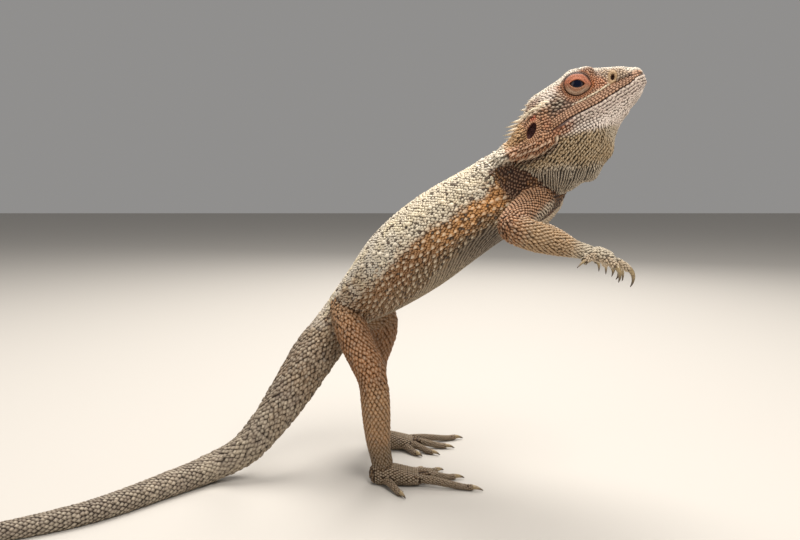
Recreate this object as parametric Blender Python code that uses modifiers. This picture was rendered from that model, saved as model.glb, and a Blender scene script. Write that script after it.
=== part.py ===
"""A life-size central bearded dragon, propped high on its hind legs and tail with its forefeet held out.

Units while building are millimetres; the finished pieces are brought to metres at the end.
+X runs from the tail to the snout, +Z is up, and the animal's right side faces -Y.
The animal is lofted and fused as one body, then parted with thin cuts where its parts meet.
"""

from math import asin, cos, degrees, pi, radians, sin

import bmesh
import bpy
from mathutils import Matrix, Vector
from mathutils.bvhtree import BVHTree

# ---------------------------------------------------------------- driving dimensions, in mm
MM = 0.001
GAP = 0.3  # the width of every cut between two pieces
SPECK = 5.0  # a body smaller than this many mm3 is a crumb of a cut
VOXEL = 0.6  # fineness of the fused body before it is faceted
BODY_FACETS = 30000  # triangles kept in the whole fused body while it is cut
RING = 24  # points round a lofted section
STEPS = 5  # rings between two stations
SOLE = 0.35  # how far the feet and tail are flattened where they meet the floor
SQUARE = 2.3  # section exponent: 2 is an ellipse, more is boxier

# Trunk and tail: place of the section's centre, half width, rise to the back, drop to the belly.
SPINE = [
    (56.0, -40.0, 157.0, 10.0, 9.0, 9.0),
    (53.0, -38.0, 150.5, 13.0, 12.0, 12.0),
    (51.0, -35.0, 143.0, 15.0, 13.0, 14.0),
    (48.5, -30.0, 136.0, 17.0, 16.0, 17.0),
    (34.5, -20.0, 127.0, 20.0, 16.0, 16.0),
    (19.5, -7.0, 116.0, 23.0, 17.0, 17.0),
    (4.5, 6.0, 102.5, 23.5, 17.0, 17.0),
    (-10.0, 17.0, 88.5, 19.0, 14.0, 14.0),
    (-22.5, 24.0, 77.5, 14.0, 11.0, 10.5),
    (-32.5, 24.0, 65.5, 11.0, 10.0, 10.0),
    (-41.0, 20.0, 54.5, 10.4, 10.0, 10.0),
    (-51.0, 14.0, 39.0, 9.4, 9.0, 9.0),
    (-60.0, 9.0, 26.5, 8.2, 7.8, 7.8),
    (-71.0, 6.0, 14.5, 7.3, 7.0, 7.0),
    (-85.0, 3.0, 7.2, 6.4, 6.1, 6.1),
    (-101.0, -13.0, 5.0, 5.6, 5.3, 5.3),
    (-123.5, -39.0, 4.2, 4.7, 4.5, 4.5),
    (-148.0, -55.0, 3.5, 4.0, 3.8, 3.8),
    (-176.0, -66.0, 2.7, 3.2, 3.0, 3.0),
    (-203.0, -69.0, 2.0, 2.4, 2.3, 2.3),
    (-228.0, -65.0, 1.5, 1.7, 1.6, 1.6),
    (-243.0, -60.0, 1.2, 1.2, 1.2, 1.2),
]

# Head frame: origin between the ears, its pitch and its turn towards -Y.
HEAD_ORIGIN = Vector((50.0, -38.0, 155.0))
HEAD_PITCH = 23.3
HEAD_TURN = -12.7

# Skull and jaws, in the head frame: along, height of the widest line, half width, rise, drop.
SKULL = [
    (46.4, 1.8, 2.4, 2.6, 2.2),
    (45.2, 2.0, 4.3, 4.4, 3.4),
    (42.5, 1.6, 5.9, 6.0, 5.4),
    (39.5, 1.2, 7.0, 8.0, 6.8),
    (34.5, 0.7, 8.4, 10.4, 8.6),
    (29.5, 0.0, 10.2, 13.2, 9.4),
    (26.0, 0.0, 11.4, 14.8, 10.0),
    (22.0, 0.0, 12.4, 15.6, 10.4),
    (17.0, 0.0, 13.6, 14.2, 10.6),
    (10.0, -1.0, 15.4, 14.0, 10.0),
    (4.0, -1.5, 16.4, 13.2, 9.5),
    (-2.0, -2.0, 16.2, 10.6, 9.0),
    (-7.0, -2.5, 14.5, 6.8, 7.5),
    (-12.0, -3.0, 11.5, 3.5, 5.5),
]

# Throat pouch, in the head frame: along, half width, lowest point.
BEARD = [
    (36.5, 4.0, -7.6),
    (32.5, 6.5, -10.0),
    (28.5, 8.5, -14.0),
    (25.5, 10.0, -18.8),
    (21.0, 11.5, -22.0),
    (16.0, 12.5, -26.0),
    (11.0, 13.2, -25.4),
    (5.0, 13.5, -26.4),
    (-1.0, 13.2, -24.0),
    (-6.0, 12.5, -19.5),
    (-10.0, 11.0, -13.8),
    (-12.5, 8.0, -9.5),
]
BEARD_TOP = -2.0
BEARD_WIDEST = -6.5

# Swellings of the head, one of each on both sides: centre and radii, in the head frame.
HEAD_SWELLINGS = {
    "brow": ((24.0, 7.4, 11.2), (6.6, 3.6, 3.2)),
    "orbit": ((22.6, 8.0, 8.2), (6.8, 4.7, 5.8)),
    "cheek": ((1.0, 11.8, -4.6), (9.5, 6.2, 5.8)),
    "jaw_angle": ((-8.5, 11.8, -5.2), (6.5, 4.6, 3.8)),
    "snout_side": ((36.0, 4.6, 5.4), (5.0, 3.2, 4.0)),
}
EYE = (22.6, 8.7, 8.4)
EYE_RADIUS = 4.8
EAR = (1.4, 18.6, -0.8)
EAR_RADII = (1.9, 2.6, 3.0)

# Limbs: place of the section's centre and its radius, from the root to the last joint.
THIGH_SHANK_RIGHT = [
    (-24.5, 17.0, 77.0, 8.0),
    (-22.5, 8.0, 71.5, 7.4),
    (-18.5, 4.0, 62.0, 7.2),
    (-14.3, 0.0, 54.5, 6.9),
    (-12.0, -2.0, 47.5, 6.4),
    (-11.0, -2.0, 39.5, 6.5),
    (-10.5, -1.0, 30.0, 6.2),
    (-10.0, 0.0, 22.5, 5.7),
    (-9.2, 1.0, 15.5, 5.1),
    (-7.8, 1.0, 9.0, 4.8),
]
THIGH_SHANK_LEFT = [
    (-18.0, 28.0, 76.5, 8.0),
    (-9.6, 34.5, 71.0, 7.5),
    (-8.6, 38.5, 63.0, 7.0),
    (-10.5, 42.5, 54.5, 6.4),
    (-12.6, 45.5, 46.5, 6.1),
    (-13.2, 47.0, 38.0, 6.3),
    (-12.6, 48.0, 29.0, 6.0),
    (-11.8, 48.0, 21.5, 5.5),
    (-11.0, 48.0, 14.8, 5.0),
    (-10.2, 48.0, 9.0, 4.8),
]
ARM_RIGHT = [
    (53.0, -33.0, 133.0, 7.0),
    (53.0, -41.0, 130.0, 6.6),
    (48.5, -50.0, 127.0, 6.0),
    (42.5, -61.0, 123.2, 5.6),
    (39.8, -67.0, 120.4, 5.2),
    (44.5, -67.5, 118.4, 5.4),
    (50.0, -66.5, 116.5, 5.2),
    (57.2, -65.0, 114.2, 4.2),
    (63.0, -63.5, 112.4, 3.2),
    (68.5, -62.0, 111.0, 2.6),
]
ARM_LEFT = [
    (57.0, -32.0, 133.0, 7.0),
    (59.8, -25.0, 129.5, 6.2),
    (59.0, -15.0, 124.5, 5.6),
    (57.5, -5.0, 119.5, 5.4),
    (56.5, 2.0, 115.6, 5.2),
    (60.0, -1.5, 114.2, 5.3),
    (64.0, -7.0, 112.8, 5.1),
    (68.5, -14.0, 111.0, 4.2),
    (71.5, -19.5, 109.6, 3.2),
    (74.0, -25.0, 108.4, 2.6),
]
# Where each arm is cut below the shoulder and at the wrist, and the reach of the blade there.
ARM_CUTS = {"right": ((0.25, 10.5), (0.1, 5.0)), "left": ((0.5, 9.0), (0.85, 7.0))}

# Feet, in a frame at the ankle with x along the foot and y towards its inner side.
SOLE_FRAME = [  # along, height, half width, half thickness
    (-5.5, 4.6, 3.6, 4.2),
    (-1.0, 5.0, 5.2, 5.0),
    (6.0, 4.4, 6.0, 4.4),
    (12.5, 3.6, 6.8, 3.4),
    (17.0, 3.0, 6.2, 2.7),
]
TOES = {  # base x, y; tip x, y; radius at the base
    "1": (11.0, 4.6, 18.0, 14.0, 1.7),
    "2": (14.0, 3.6, 26.0, 12.5, 1.9),
    "3": (15.0, 0.2, 34.0, 4.0, 2.0),
    "4": (14.0, -3.6, 41.0, -9.5, 2.0),
    "5": (1.5, -4.0, 9.0, -16.5, 1.8),
}
TOE_TIP_RADIUS = 1.35
TOE_TIP_HEIGHT = 1.4
TOE_ARCH = ((-0.15, 0.2), (0.25, 0.7), (0.55, 0.4), (0.82, -0.1), (1.0, 0.4))  # share, lift
ANKLES = {"right": ((-8.5, 1.0), 0.0, 1), "left": ((-10.5, 48.0), 6.0, -1)}

# Hands: palm stations, then finger tips from the innermost to the outermost.
PALMS = {
    "right": [
        (68.5, -62.0, 111.0, 2.9, 2.5),
        (72.2, -61.5, 110.2, 4.0, 2.7),
        (76.0, -60.8, 109.0, 4.4, 2.2),
    ],
    "left": [
        (74.0, -25.0, 108.4, 2.9, 2.5),
        (77.2, -23.8, 107.4, 4.0, 2.7),
        (80.4, -22.6, 106.3, 4.4, 2.2),
    ],
}
FINGER_TIPS = {
    "right": {
        "1": (77.5, -50.0, 105.4),
        "2": (82.2, -53.5, 104.4),
        "3": (83.8, -59.0, 104.6),
        "4": (77.0, -67.2, 106.2),
        "5": (65.2, -67.8, 108.4),
    },
    "left": {
        "1": (78.8, -32.5, 104.8),
        "2": (84.4, -29.0, 103.4),
        "3": (88.0, -23.4, 102.8),
        "4": (88.4, -17.0, 103.0),
        "5": (82.0, -11.5, 105.0),
    },
}
FINGER_RADIUS = 1.75
FINGER_TIP_RADIUS = 1.4

# Claws: length, and the angle below the horizon that the tip has bent to, in degrees.
CLAW_RADIUS = 0.95
HAND_CLAW = {"1": (4.4, 105), "2": (5.6, 110), "3": (7.4, 124), "4": (5.6, 112), "5": (4.6, 42)}
FOOT_CLAW = {"1": (3.4, 30), "2": (4.0, 28), "3": (4.4, 26), "4": (4.6, 26), "5": (3.8, 28)}

# The share of its triangles that each kind of piece keeps once it is cut.
FACET_SHARES = {"back": 0.18, "leg": 0.21, "tail": 0.165, "face": 0.28, "pale": 0.24}

PIECE_COLOURS = {  # colour and roughness of each kind of piece
    "back": ((0.62, 0.52, 0.38, 1.0), 0.62),
    "leg": ((0.52, 0.33, 0.17, 1.0), 0.62),
    "tail": ((0.42, 0.35, 0.26, 1.0), 0.64),
    "face": ((0.60, 0.38, 0.23, 1.0), 0.58),
    "pale": ((0.66, 0.60, 0.46, 1.0), 0.60),
    "eye": ((0.03, 0.03, 0.05, 1.0), 0.08),
    "horn": ((0.30, 0.24, 0.15, 1.0), 0.35),
}


# ---------------------------------------------------------------- scene and mesh helpers
def clear_scene():
    for item in list(bpy.data.objects):
        bpy.data.objects.remove(item)


def collection(name, hidden=False):
    made = bpy.data.collections.new(name)
    bpy.context.scene.collection.children.link(made)
    made.hide_render = hidden
    return made


def add_object(name, mesh, place):
    item = bpy.data.objects.new(name, mesh)
    place.objects.link(item)
    return item


def evaluated_mesh(item):
    bpy.context.view_layer.update()
    graph = bpy.context.evaluated_depsgraph_get()
    return bpy.data.meshes.new_from_object(item.evaluated_get(graph))


def smooth_between(values, share, i):
    """Catmull-Rom value between row i and row i + 1 of a table."""
    last = len(values) - 1
    a, b, c, d = (values[min(max(k, 0), last)] for k in (i - 1, i, i + 1, i + 2))
    t, t2, t3 = share, share**2, share**3
    return [
        0.5 * (2 * q + (r - p) * t + (2 * p - 5 * q + 4 * r - s) * t2 + (3 * q - p - 3 * r + s) * t3)
        for p, q, r, s in zip(a, b, c, d)
    ]


def finer(rows, steps=STEPS):
    """The rows with smooth rows between them."""
    made = []
    for i in range(len(rows) - 1):
        made += [smooth_between(rows, k / steps, i) for k in range(steps)]
    return made + [list(rows[-1])]


def section(centre, lateral, up, half_width, rise, drop, exponent=SQUARE):
    """Points of one closed section, a superellipse with its own rise and drop."""
    points = []
    for k in range(RING):
        angle = 2 * pi * k / RING
        across, along = cos(angle), sin(angle)
        side = half_width * abs(across) ** (2 / exponent) * (1 if across >= 0 else -1)
        tall = (rise if along >= 0 else -drop) * abs(along) ** (2 / exponent)
        points.append(centre + lateral * side + up * tall)
    return points


def loft(rings):
    """A closed mesh through the rings, each a list of as many points."""
    shape = bmesh.new()
    loops = [[shape.verts.new(p) for p in ring] for ring in rings]
    for near, far in zip(loops, loops[1:]):
        for k in range(len(near)):
            shape.faces.new((near[k], near[k - 1], far[k - 1], far[k]))
    shape.faces.new(loops[0])
    shape.faces.new(reversed(loops[-1]))
    bmesh.ops.recalc_face_normals(shape, faces=shape.faces)
    mesh = bpy.data.meshes.new("loft")
    shape.to_mesh(mesh)
    shape.free()
    return mesh


def axes_along(tangent, level):
    """Lateral and up axes of a section. level is the axis that the lateral one is square to."""
    lateral = level.cross(tangent).normalized()
    return lateral, tangent.cross(lateral).normalized()


def tube(stations, level=Vector((0, 0, 1)), exponent=SQUARE):
    """A loft along stations of x, y, z, half width, rise and drop."""
    rows = finer(stations)
    places = [Vector(row[:3]) for row in rows]
    rings = []
    for i, row in enumerate(rows):
        tangent = (places[min(i + 1, len(rows) - 1)] - places[max(i - 1, 0)]).normalized()
        lateral, up = axes_along(tangent, level)
        rings.append(section(places[i], lateral, up, *row[3:6], exponent))
    return loft(rings)


def round_tube(stations, level=Vector((0, 1, 0))):
    """A loft of round sections along stations of x, y, z and radius."""
    return tube([(x, y, z, r, r, r) for x, y, z, r in stations], level, 2.0)


def ball(centre, radii, turn=Matrix.Identity(3), u=20, v=12):
    shape = bmesh.new()
    bmesh.ops.create_uvsphere(shape, u_segments=u, v_segments=v, radius=1)
    place = Matrix.Translation(centre) @ turn.to_4x4() @ Matrix.Diagonal((*radii, 1))
    bmesh.ops.transform(shape, matrix=place, verts=shape.verts)
    mesh = bpy.data.meshes.new("ball")
    shape.to_mesh(mesh)
    shape.free()
    return mesh


def joined(name, meshes, place):
    """One object that holds all of these meshes."""
    shape = bmesh.new()
    for mesh in meshes:
        shape.from_mesh(mesh)
    whole = bpy.data.meshes.new(name)
    shape.to_mesh(whole)
    shape.free()
    return add_object(name, whole, place)


# ---------------------------------------------------------------- head frame
def head_turn():
    """Rotation whose columns are the head's forward, left and up axes."""
    pitch, turn = radians(HEAD_PITCH), radians(HEAD_TURN)
    forward = Vector((cos(turn) * cos(pitch), sin(turn) * cos(pitch), sin(pitch)))
    left = Vector((-sin(turn), cos(turn), 0))
    return Matrix((forward, left, forward.cross(left))).transposed()


HEAD = head_turn()


def head_point(along, side, high):
    return HEAD_ORIGIN + HEAD @ Vector((along, side, high))


# ---------------------------------------------------------------- the body's masses
def skull_mesh():
    rings = []
    for along, middle, half, rise, drop in finer(SKULL):
        centre = head_point(along, 0, middle)
        rings.append(section(centre, HEAD.col[1], HEAD.col[2], half, rise, drop, 2.15))
    return loft(rings)


def beard_mesh():
    rings = []
    for along, half, low in finer(BEARD):
        centre = head_point(along, 0, BEARD_WIDEST)
        rise, drop = BEARD_TOP - BEARD_WIDEST, BEARD_WIDEST - low
        rings.append(section(centre, HEAD.col[1], HEAD.col[2], half, rise, drop, 2.0))
    return loft(rings)


def swelling_meshes():
    made = []
    for (along, side, high), radii in HEAD_SWELLINGS.values():
        for hand in (1, -1):
            made.append(ball(head_point(along, side * hand, high), radii, HEAD))
    return made


def foot_place(side):
    """(origin, along, inner) of a foot's frame on the floor."""
    (x, y), heading, hand = ANKLES[side]
    turn = radians(heading)
    along = Vector((cos(turn), sin(turn), 0))
    return Vector((x, y, 0)), along, Vector((-sin(turn), cos(turn), 0)) * hand


def foot_point(side, along, inner, high):
    origin, forward, inward = foot_place(side)
    return origin + forward * along + inward * inner + Vector((0, 0, high))


def toe_path(side, toe):
    """Stations along a toe, a little arched over its joints, to past the claw's root."""
    bx, by, tx, ty, radius = TOES[toe]
    rows = []
    for share, lift in TOE_ARCH:
        high = radius * 1.7 + (TOE_TIP_HEIGHT - radius * 1.7) * max(share, 0) + lift
        at = foot_point(side, bx + (tx - bx) * share, by + (ty - by) * share, high)
        rows.append((*at, radius + (TOE_TIP_RADIUS - radius) * max(share, 0)))
    return rows


def finger_path(side, finger):
    """Stations from inside the palm to the finger's tip."""
    _, palm, knuckle = (Vector(row[:3]) for row in PALMS[side])
    tip = Vector(FINGER_TIPS[side][finger])
    spread = (tip - knuckle).cross(Vector((0, 0, 1))).normalized()
    base = palm + (tip - palm) * 0.25 + spread * 0.2
    rows = []
    for share, lift in ((0.0, 0.0), (0.35, 0.5), (0.7, 0.45), (1.0, 0.0)):
        at = base + (tip - base) * share + Vector((0, 0, lift))
        rows.append((*at, FINGER_RADIUS + (FINGER_TIP_RADIUS - FINGER_RADIUS) * share))
    return rows


def foot_meshes(side):
    _, _, inward = foot_place(side)
    rings = []
    for along, high, half, thick in finer(SOLE_FRAME):
        centre = foot_point(side, along, 0, high)
        rings.append(section(centre, inward, Vector((0, 0, 1)), half, thick, thick))
    return [loft(rings)] + [round_tube(toe_path(side, toe), Vector((0, 0, 1))) for toe in TOES]


def hand_meshes(side):
    palm = tube([(x, y, z, half, thick, thick) for x, y, z, half, thick in PALMS[side]])
    return [palm] + [round_tube(finger_path(side, finger)) for finger in FINGER_TIPS[side]]


def body_masses():
    made = [tube(SPINE), skull_mesh(), beard_mesh(), *swelling_meshes()]
    made += [round_tube(path) for path in (THIGH_SHANK_RIGHT, THIGH_SHANK_LEFT)]
    made += [round_tube(path, Vector((0, 0, 1))) for path in (ARM_RIGHT, ARM_LEFT)]
    for side in ANKLES:
        made += foot_meshes(side) + hand_meshes(side)
    return made


def fused_body(place):
    """The masses run together into one smooth skin."""
    body = joined("body", body_masses(), place)
    remesh = body.modifiers.new("fuse", "REMESH")
    remesh.mode = "VOXEL"
    remesh.voxel_size = VOXEL
    soften = body.modifiers.new("soften", "SMOOTH")
    soften.factor = 0.5
    soften.iterations = 4
    body.data = evaluated_mesh(body)
    body.modifiers.clear()
    facet = body.modifiers.new("facet", "DECIMATE")
    facet.ratio = BODY_FACETS / (2 * len(body.data.polygons))
    body.data = evaluated_mesh(body)
    body.modifiers.clear()
    return body


# ---------------------------------------------------------------- the cuts between the pieces
def disc(centre, normal, radius, second=None, across=Vector((0, 1, 0)), depth=GAP):
    """A thin round or oval blade, square to normal. across gives the direction of radius."""
    normal = Vector(normal).normalized()
    first = (across - normal * across.dot(normal)).normalized()
    turn = Matrix((first, normal.cross(first), normal)).transposed()
    shape = bmesh.new()
    bmesh.ops.create_cone(shape, cap_ends=True, segments=28, radius1=1, radius2=1, depth=depth)
    size = Matrix.Diagonal((radius, second or radius, 1, 1))
    bmesh.ops.transform(
        shape, matrix=Matrix.Translation(Vector(centre)) @ turn.to_4x4() @ size, verts=shape.verts
    )
    mesh = bpy.data.meshes.new("disc")
    shape.to_mesh(mesh)
    shape.free()
    return mesh


def head_blade(line, half_span, place):
    """A thin blade through the head: a line of (along, high) points drawn out to both sides."""
    shape = bmesh.new()
    rows = [
        [shape.verts.new(head_point(along, side, high)) for along, high in line]
        for side in (-half_span, half_span)
    ]
    for k in range(len(line) - 1):
        shape.faces.new((rows[0][k], rows[0][k + 1], rows[1][k + 1], rows[1][k]))
    mesh = bpy.data.meshes.new("blade")
    shape.to_mesh(mesh)
    shape.free()
    item = add_object("blade", mesh, place)
    wall = item.modifiers.new("wall", "SOLIDIFY")
    wall.thickness = GAP
    wall.offset = 0
    wall.use_even_offset = True
    made = evaluated_mesh(item)
    bpy.data.objects.remove(item)
    return made


def between(path, i, share=0.5):
    """(place, direction) on a path of stations, between stations i and i + 1."""
    a, b = Vector(path[i][:3]), Vector(path[i + 1][:3])
    return a.lerp(b, share), (b - a).normalized()


def limb_cuts():
    """(blade, place inside the piece it parts), from the root of each limb outwards."""
    made = []
    for side, leg, arm in (
        ("right", THIGH_SHANK_RIGHT, ARM_RIGHT),
        ("left", THIGH_SHANK_LEFT, ARM_LEFT),
    ):
        cuts = [
            (*between(leg, 1, 0.15), 10.5),
            (*between(leg, 4, 0.1), 9.5),
            (*between(leg, 8, 0.35), 8.5),
        ]
        (share, reach), (wrist_share, wrist_reach) = ARM_CUTS[side]
        cuts.append((*between(arm, 2, share), reach))
        bend = between(arm, 3)[1] + between(arm, 4)[1]
        cuts.append((Vector(arm[4][:3]), bend.normalized(), 18.0))
        wrist, way = between(arm, 8, wrist_share)
        bend = way + between(PALMS[side], 0)[1]
        cuts.append((wrist, bend.normalized(), wrist_reach))
        made += [(disc(at, way, radius), at) for at, way, radius in cuts]
    return made


def spine_cuts():
    neck = Vector((48.5, -31.0, 138.5))
    across = Vector((0.6, 0.8, 0))
    made = [(disc(neck, (0.25, -0.25, 0.93), 19.5, 26.0, across), neck)]
    for i, share, radius in (
        (4, 0.5, 32.0),
        (7, 0.3, 24.0),
        (8, 0.75, 14.5),
        (12, 0.5, 12.0),
        (15, 0.3, 9.0),
        (17, 0.2, 7.5),
        (19, 0.1, 5.0),
    ):
        at, way = between(SPINE, i, share)
        made.append((disc(at, way, radius), at))
    return made


def head_cuts(place):
    rear = [(-3.0, 17.0), (-5.0, 3.0), (-4.0, -10.0), (5.0, -27.8), (10.0, -35.0)]
    mouth = [(50.0, 4.0), (8.0, -3.8), (-9.0, -7.1)]
    chin = [(41.0, -9.6), (33.0, -8.0), (15.0, -10.2), (-8.0, -12.8)]
    return [
        (head_blade(rear, 26.0, place), head_point(-5.0, 0, 3.0)),
        (head_blade(mouth, 24.0, place), head_point(8.0, 0, -3.8)),
        (head_blade(chin, 24.0, place), head_point(15.0, 0, -10.2)),
    ]


def claw_root(path):
    """(place, direction) of the flat end of a toe or finger that its claw grows from."""
    a, b = Vector(path[-2][:3]), Vector(path[-1][:3])
    return b, (b - a).normalized()


def tip_blocks():
    """Blocks that take the rounded end off each toe and finger, where its claw starts."""
    made = []
    for side in ANKLES:
        ends = [claw_root(toe_path(side, toe)) for toe in TOES]
        ends += [claw_root(finger_path(side, finger)) for finger in FINGER_TIPS[side]]
        made += [disc(at - way * 0.2 + way * 1.5, way, 2.3, depth=3.0) for at, way in ends]
    return made


def sockets():
    made = []
    for hand in (1, -1):
        along, side, high = EYE
        radius = EYE_RADIUS + GAP
        made.append(ball(head_point(along, side * hand, high), (radius,) * 3, HEAD, 16, 10))
        along, side, high = EAR
        made.append(ball(head_point(along, side * hand, high), EAR_RADII, HEAD, 12, 8))
    return made


def take_from(mesh, meshes, place, helpers):
    """The mesh with these closed shapes taken out of it."""
    item = add_object("uncut", mesh, place)
    cutter = joined("cutter", meshes, helpers)
    cutter.hide_render = True
    cutter.display_type = "WIRE"
    cut = item.modifiers.new("cut", "BOOLEAN")
    cut.operation = "DIFFERENCE"
    cut.solver = "EXACT"
    cut.object = cutter
    made = evaluated_mesh(item)
    bpy.data.objects.remove(item)
    return made


def holds(mesh, at):
    """Whether the closed mesh has this place inside it."""
    shape = bmesh.new()
    shape.from_mesh(mesh)
    tree = BVHTree.FromBMesh(shape)
    shape.free()
    way, crossings, start = Vector((0.31, 0.22, 0.925)), 0, at.copy()
    while crossings < 60:
        hit = tree.ray_cast(start, way)[0]
        if hit is None:
            break
        crossings += 1
        start = hit + way * 0.001
    return crossings % 2 == 1


def parted_body(body, place, helpers):
    """The body's pieces as meshes. Each cut is made only in the piece it belongs to."""
    whole = take_from(body.data, tip_blocks() + sockets(), place, helpers)
    pieces = loose_meshes(whole)
    for blade, at in head_cuts(helpers) + spine_cuts() + limb_cuts():
        k = next(k for k, mesh in enumerate(pieces) if holds(mesh, at))
        pieces += loose_meshes(take_from(pieces.pop(k), [blade], place, helpers))
    bpy.data.objects.remove(body)
    return pieces


# ---------------------------------------------------------------- naming the parted pieces
def piece_centres():
    """A place inside each piece, and the kind of colour it has."""
    found = {
        "head": (head_point(16, 0, 6), "face"),
        "lower_jaw": (head_point(14, 0, -6), "pale"),
        "beard": (head_point(8, 0, -18), "pale"),
        "neck": (Vector((48.0, -33.0, 141.0)), "back"),
        "chest": (between(SPINE, 3, 0.6)[0], "back"),
        "abdomen": (between(SPINE, 5, 0.7)[0], "back"),
        "pelvis": (between(SPINE, 7, 0.9)[0], "back"),
        "tail_base": (between(SPINE, 10, 0.6)[0], "tail"),
        "tail_second": (between(SPINE, 13, 0.8)[0], "tail"),
        "tail_third": (between(SPINE, 16, 0.2)[0], "tail"),
        "tail_fourth": (between(SPINE, 18, 0.2)[0], "tail"),
        "tail_tip": (between(SPINE, 20, 0.0)[0], "tail"),
    }
    for side, leg, arm in (
        ("right", THIGH_SHANK_RIGHT, ARM_RIGHT),
        ("left", THIGH_SHANK_LEFT, ARM_LEFT),
    ):
        found[f"thigh_{side}"] = (between(leg, 2, 0.6)[0], "leg")
        found[f"shank_{side}"] = (between(leg, 6, 0.2)[0], "leg")
        found[f"foot_{side}"] = (foot_point(side, 10, 0, 4), "leg")
        found[f"upper_arm_{side}"] = (between(arm, 2, 0.6)[0], "leg")
        found[f"forearm_{side}"] = (between(arm, 6, 0.2)[0], "leg")
        found[f"hand_{side}"] = (between(PALMS[side], 1, 0.7)[0], "leg")
    return found


def loose_meshes(mesh):
    """The mesh's separate bodies, each as its own mesh, without specks."""
    whole = bmesh.new()
    whole.from_mesh(mesh)
    seen, made = set(), []
    for first in whole.verts:
        if first in seen:
            continue
        stack, members = [first], []
        seen.add(first)
        while stack:
            vert = stack.pop()
            members.append(vert)
            for edge in vert.link_edges:
                other = edge.other_vert(vert)
                if other not in seen:
                    seen.add(other)
                    stack.append(other)
        index = {vert: k for k, vert in enumerate(members)}
        part = bmesh.new()
        verts = [part.verts.new(vert.co) for vert in members]
        faces = {face for vert in members for face in vert.link_faces}
        for face in sorted(faces, key=lambda f: f.index):
            part.faces.new([verts[index[v]] for v in face.verts])
        if part.calc_volume() > SPECK:
            body = bpy.data.meshes.new("part")
            part.to_mesh(body)
            made.append(body)
        part.free()
    whole.free()
    return made


def name_parts(meshes, place):
    """Gives each parted body the name of the piece whose centre it lies nearest to."""
    centres = piece_centres()
    made = []
    for mesh in meshes:
        middle = sum((vert.co for vert in mesh.vertices), Vector()) / len(mesh.vertices)
        name = min(centres, key=lambda n: (centres[n][0] - middle).length)
        mesh.name = name
        made.append((add_object(name, mesh, place), centres[name][1]))
    return made


def facet(item, share):
    """Thins the piece's triangles to this share of them, where it is flattest first."""
    thin = item.modifiers.new("thin", "DECIMATE")
    thin.ratio = share
    item.data = evaluated_mesh(item)
    item.modifiers.clear()


def flatten_sole(item):
    """Slices off what lies under the level of the soles, which leaves small flats to stand on."""
    if min(vert.co.z for vert in item.data.vertices) > SOLE:
        return
    shape = bmesh.new()
    shape.from_mesh(item.data)
    bmesh.ops.bisect_plane(
        shape,
        geom=[*shape.verts, *shape.edges, *shape.faces],
        dist=0.001,
        plane_co=(0, 0, SOLE),
        plane_no=(0, 0, -1),
        clear_outer=True,
    )
    rims = [edge for edge in shape.edges if edge.is_boundary]
    bmesh.ops.holes_fill(shape, edges=rims, sides=0)
    bmesh.ops.triangulate(shape, faces=shape.faces)
    bmesh.ops.recalc_face_normals(shape, faces=shape.faces)
    shape.to_mesh(item.data)
    shape.free()


# ---------------------------------------------------------------- eyes and claws
def eyes(place):
    made = []
    for name, hand in (("eye_left", 1), ("eye_right", -1)):
        along, side, high = EYE
        mesh = ball(head_point(along, side * hand, high), (EYE_RADIUS,) * 3, HEAD, 14, 8)
        made.append((add_object(name, mesh, place), "eye"))
    return made


def claw(name, root, way, facts, place):
    """A horn curve that bends down in the plane of its toe, thick at the root and pointed."""
    length, end = facts
    level = Vector((way.x, way.y, 0)).normalized()
    start = degrees(asin(-way.z))
    curve = bpy.data.curves.new(name, "CURVE")
    curve.dimensions = "3D"
    curve.bevel_depth = 1.0
    curve.bevel_resolution = 1
    curve.use_fill_caps = True
    line = curve.splines.new("POLY")
    pieces = 5
    line.points.add(pieces)
    at = root + way * (GAP - 0.2 + 0.05)
    for k in range(pieces + 1):
        share = k / pieces
        line.points[k].co = (*at, 1)
        line.points[k].radius = CLAW_RADIUS * (1 - share) ** 0.8 + 0.16
        angle = radians(start + (end - start) * k / (pieces - 1))
        at = at + (level * cos(angle) - Vector((0, 0, sin(angle)))) * length / pieces
    item = add_object(name, curve, place)
    mesh = evaluated_mesh(item)
    bpy.data.objects.remove(item)
    shape = bmesh.new()
    shape.from_mesh(mesh)
    bmesh.ops.remove_doubles(shape, verts=shape.verts, dist=0.001)
    bmesh.ops.recalc_face_normals(shape, faces=shape.faces)
    shape.to_mesh(mesh)
    shape.free()
    return add_object(name, mesh, place)


def claws(place):
    made = []
    for side in ANKLES:
        for toe in TOES:
            root, way = claw_root(toe_path(side, toe))
            made.append(claw(f"foot_claw_{side}_{toe}", root, way, FOOT_CLAW[toe], place))
        for finger in FINGER_TIPS[side]:
            root, way = claw_root(finger_path(side, finger))
            made.append(claw(f"hand_claw_{side}_{finger}", root, way, HAND_CLAW[finger], place))
    return [(item, "horn") for item in made]


# ---------------------------------------------------------------- finish
def finish_pieces(pieces):
    """Brings the pieces to metres with the origin under the middle of their box, and colours them."""
    corners = [vert.co for item, _ in pieces for vert in item.data.vertices]
    low = Vector(min(co[k] for co in corners) for k in range(3))
    high = Vector(max(co[k] for co in corners) for k in range(3))
    base = Vector(((low.x + high.x) / 2, (low.y + high.y) / 2, low.z))
    to_metres = Matrix.Scale(MM, 4) @ Matrix.Translation(-base)
    for item, kind in pieces:
        item.data.transform(to_metres)
        colour, roughness = PIECE_COLOURS[kind]
        material = bpy.data.materials.new(item.name)
        material.use_nodes = True
        shader = material.node_tree.nodes["Principled BSDF"]
        shader.inputs["Base Color"].default_value = colour
        shader.inputs["Roughness"].default_value = roughness
        item.data.materials.clear()
        item.data.materials.append(material)
        item.data.shade_smooth()


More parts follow.
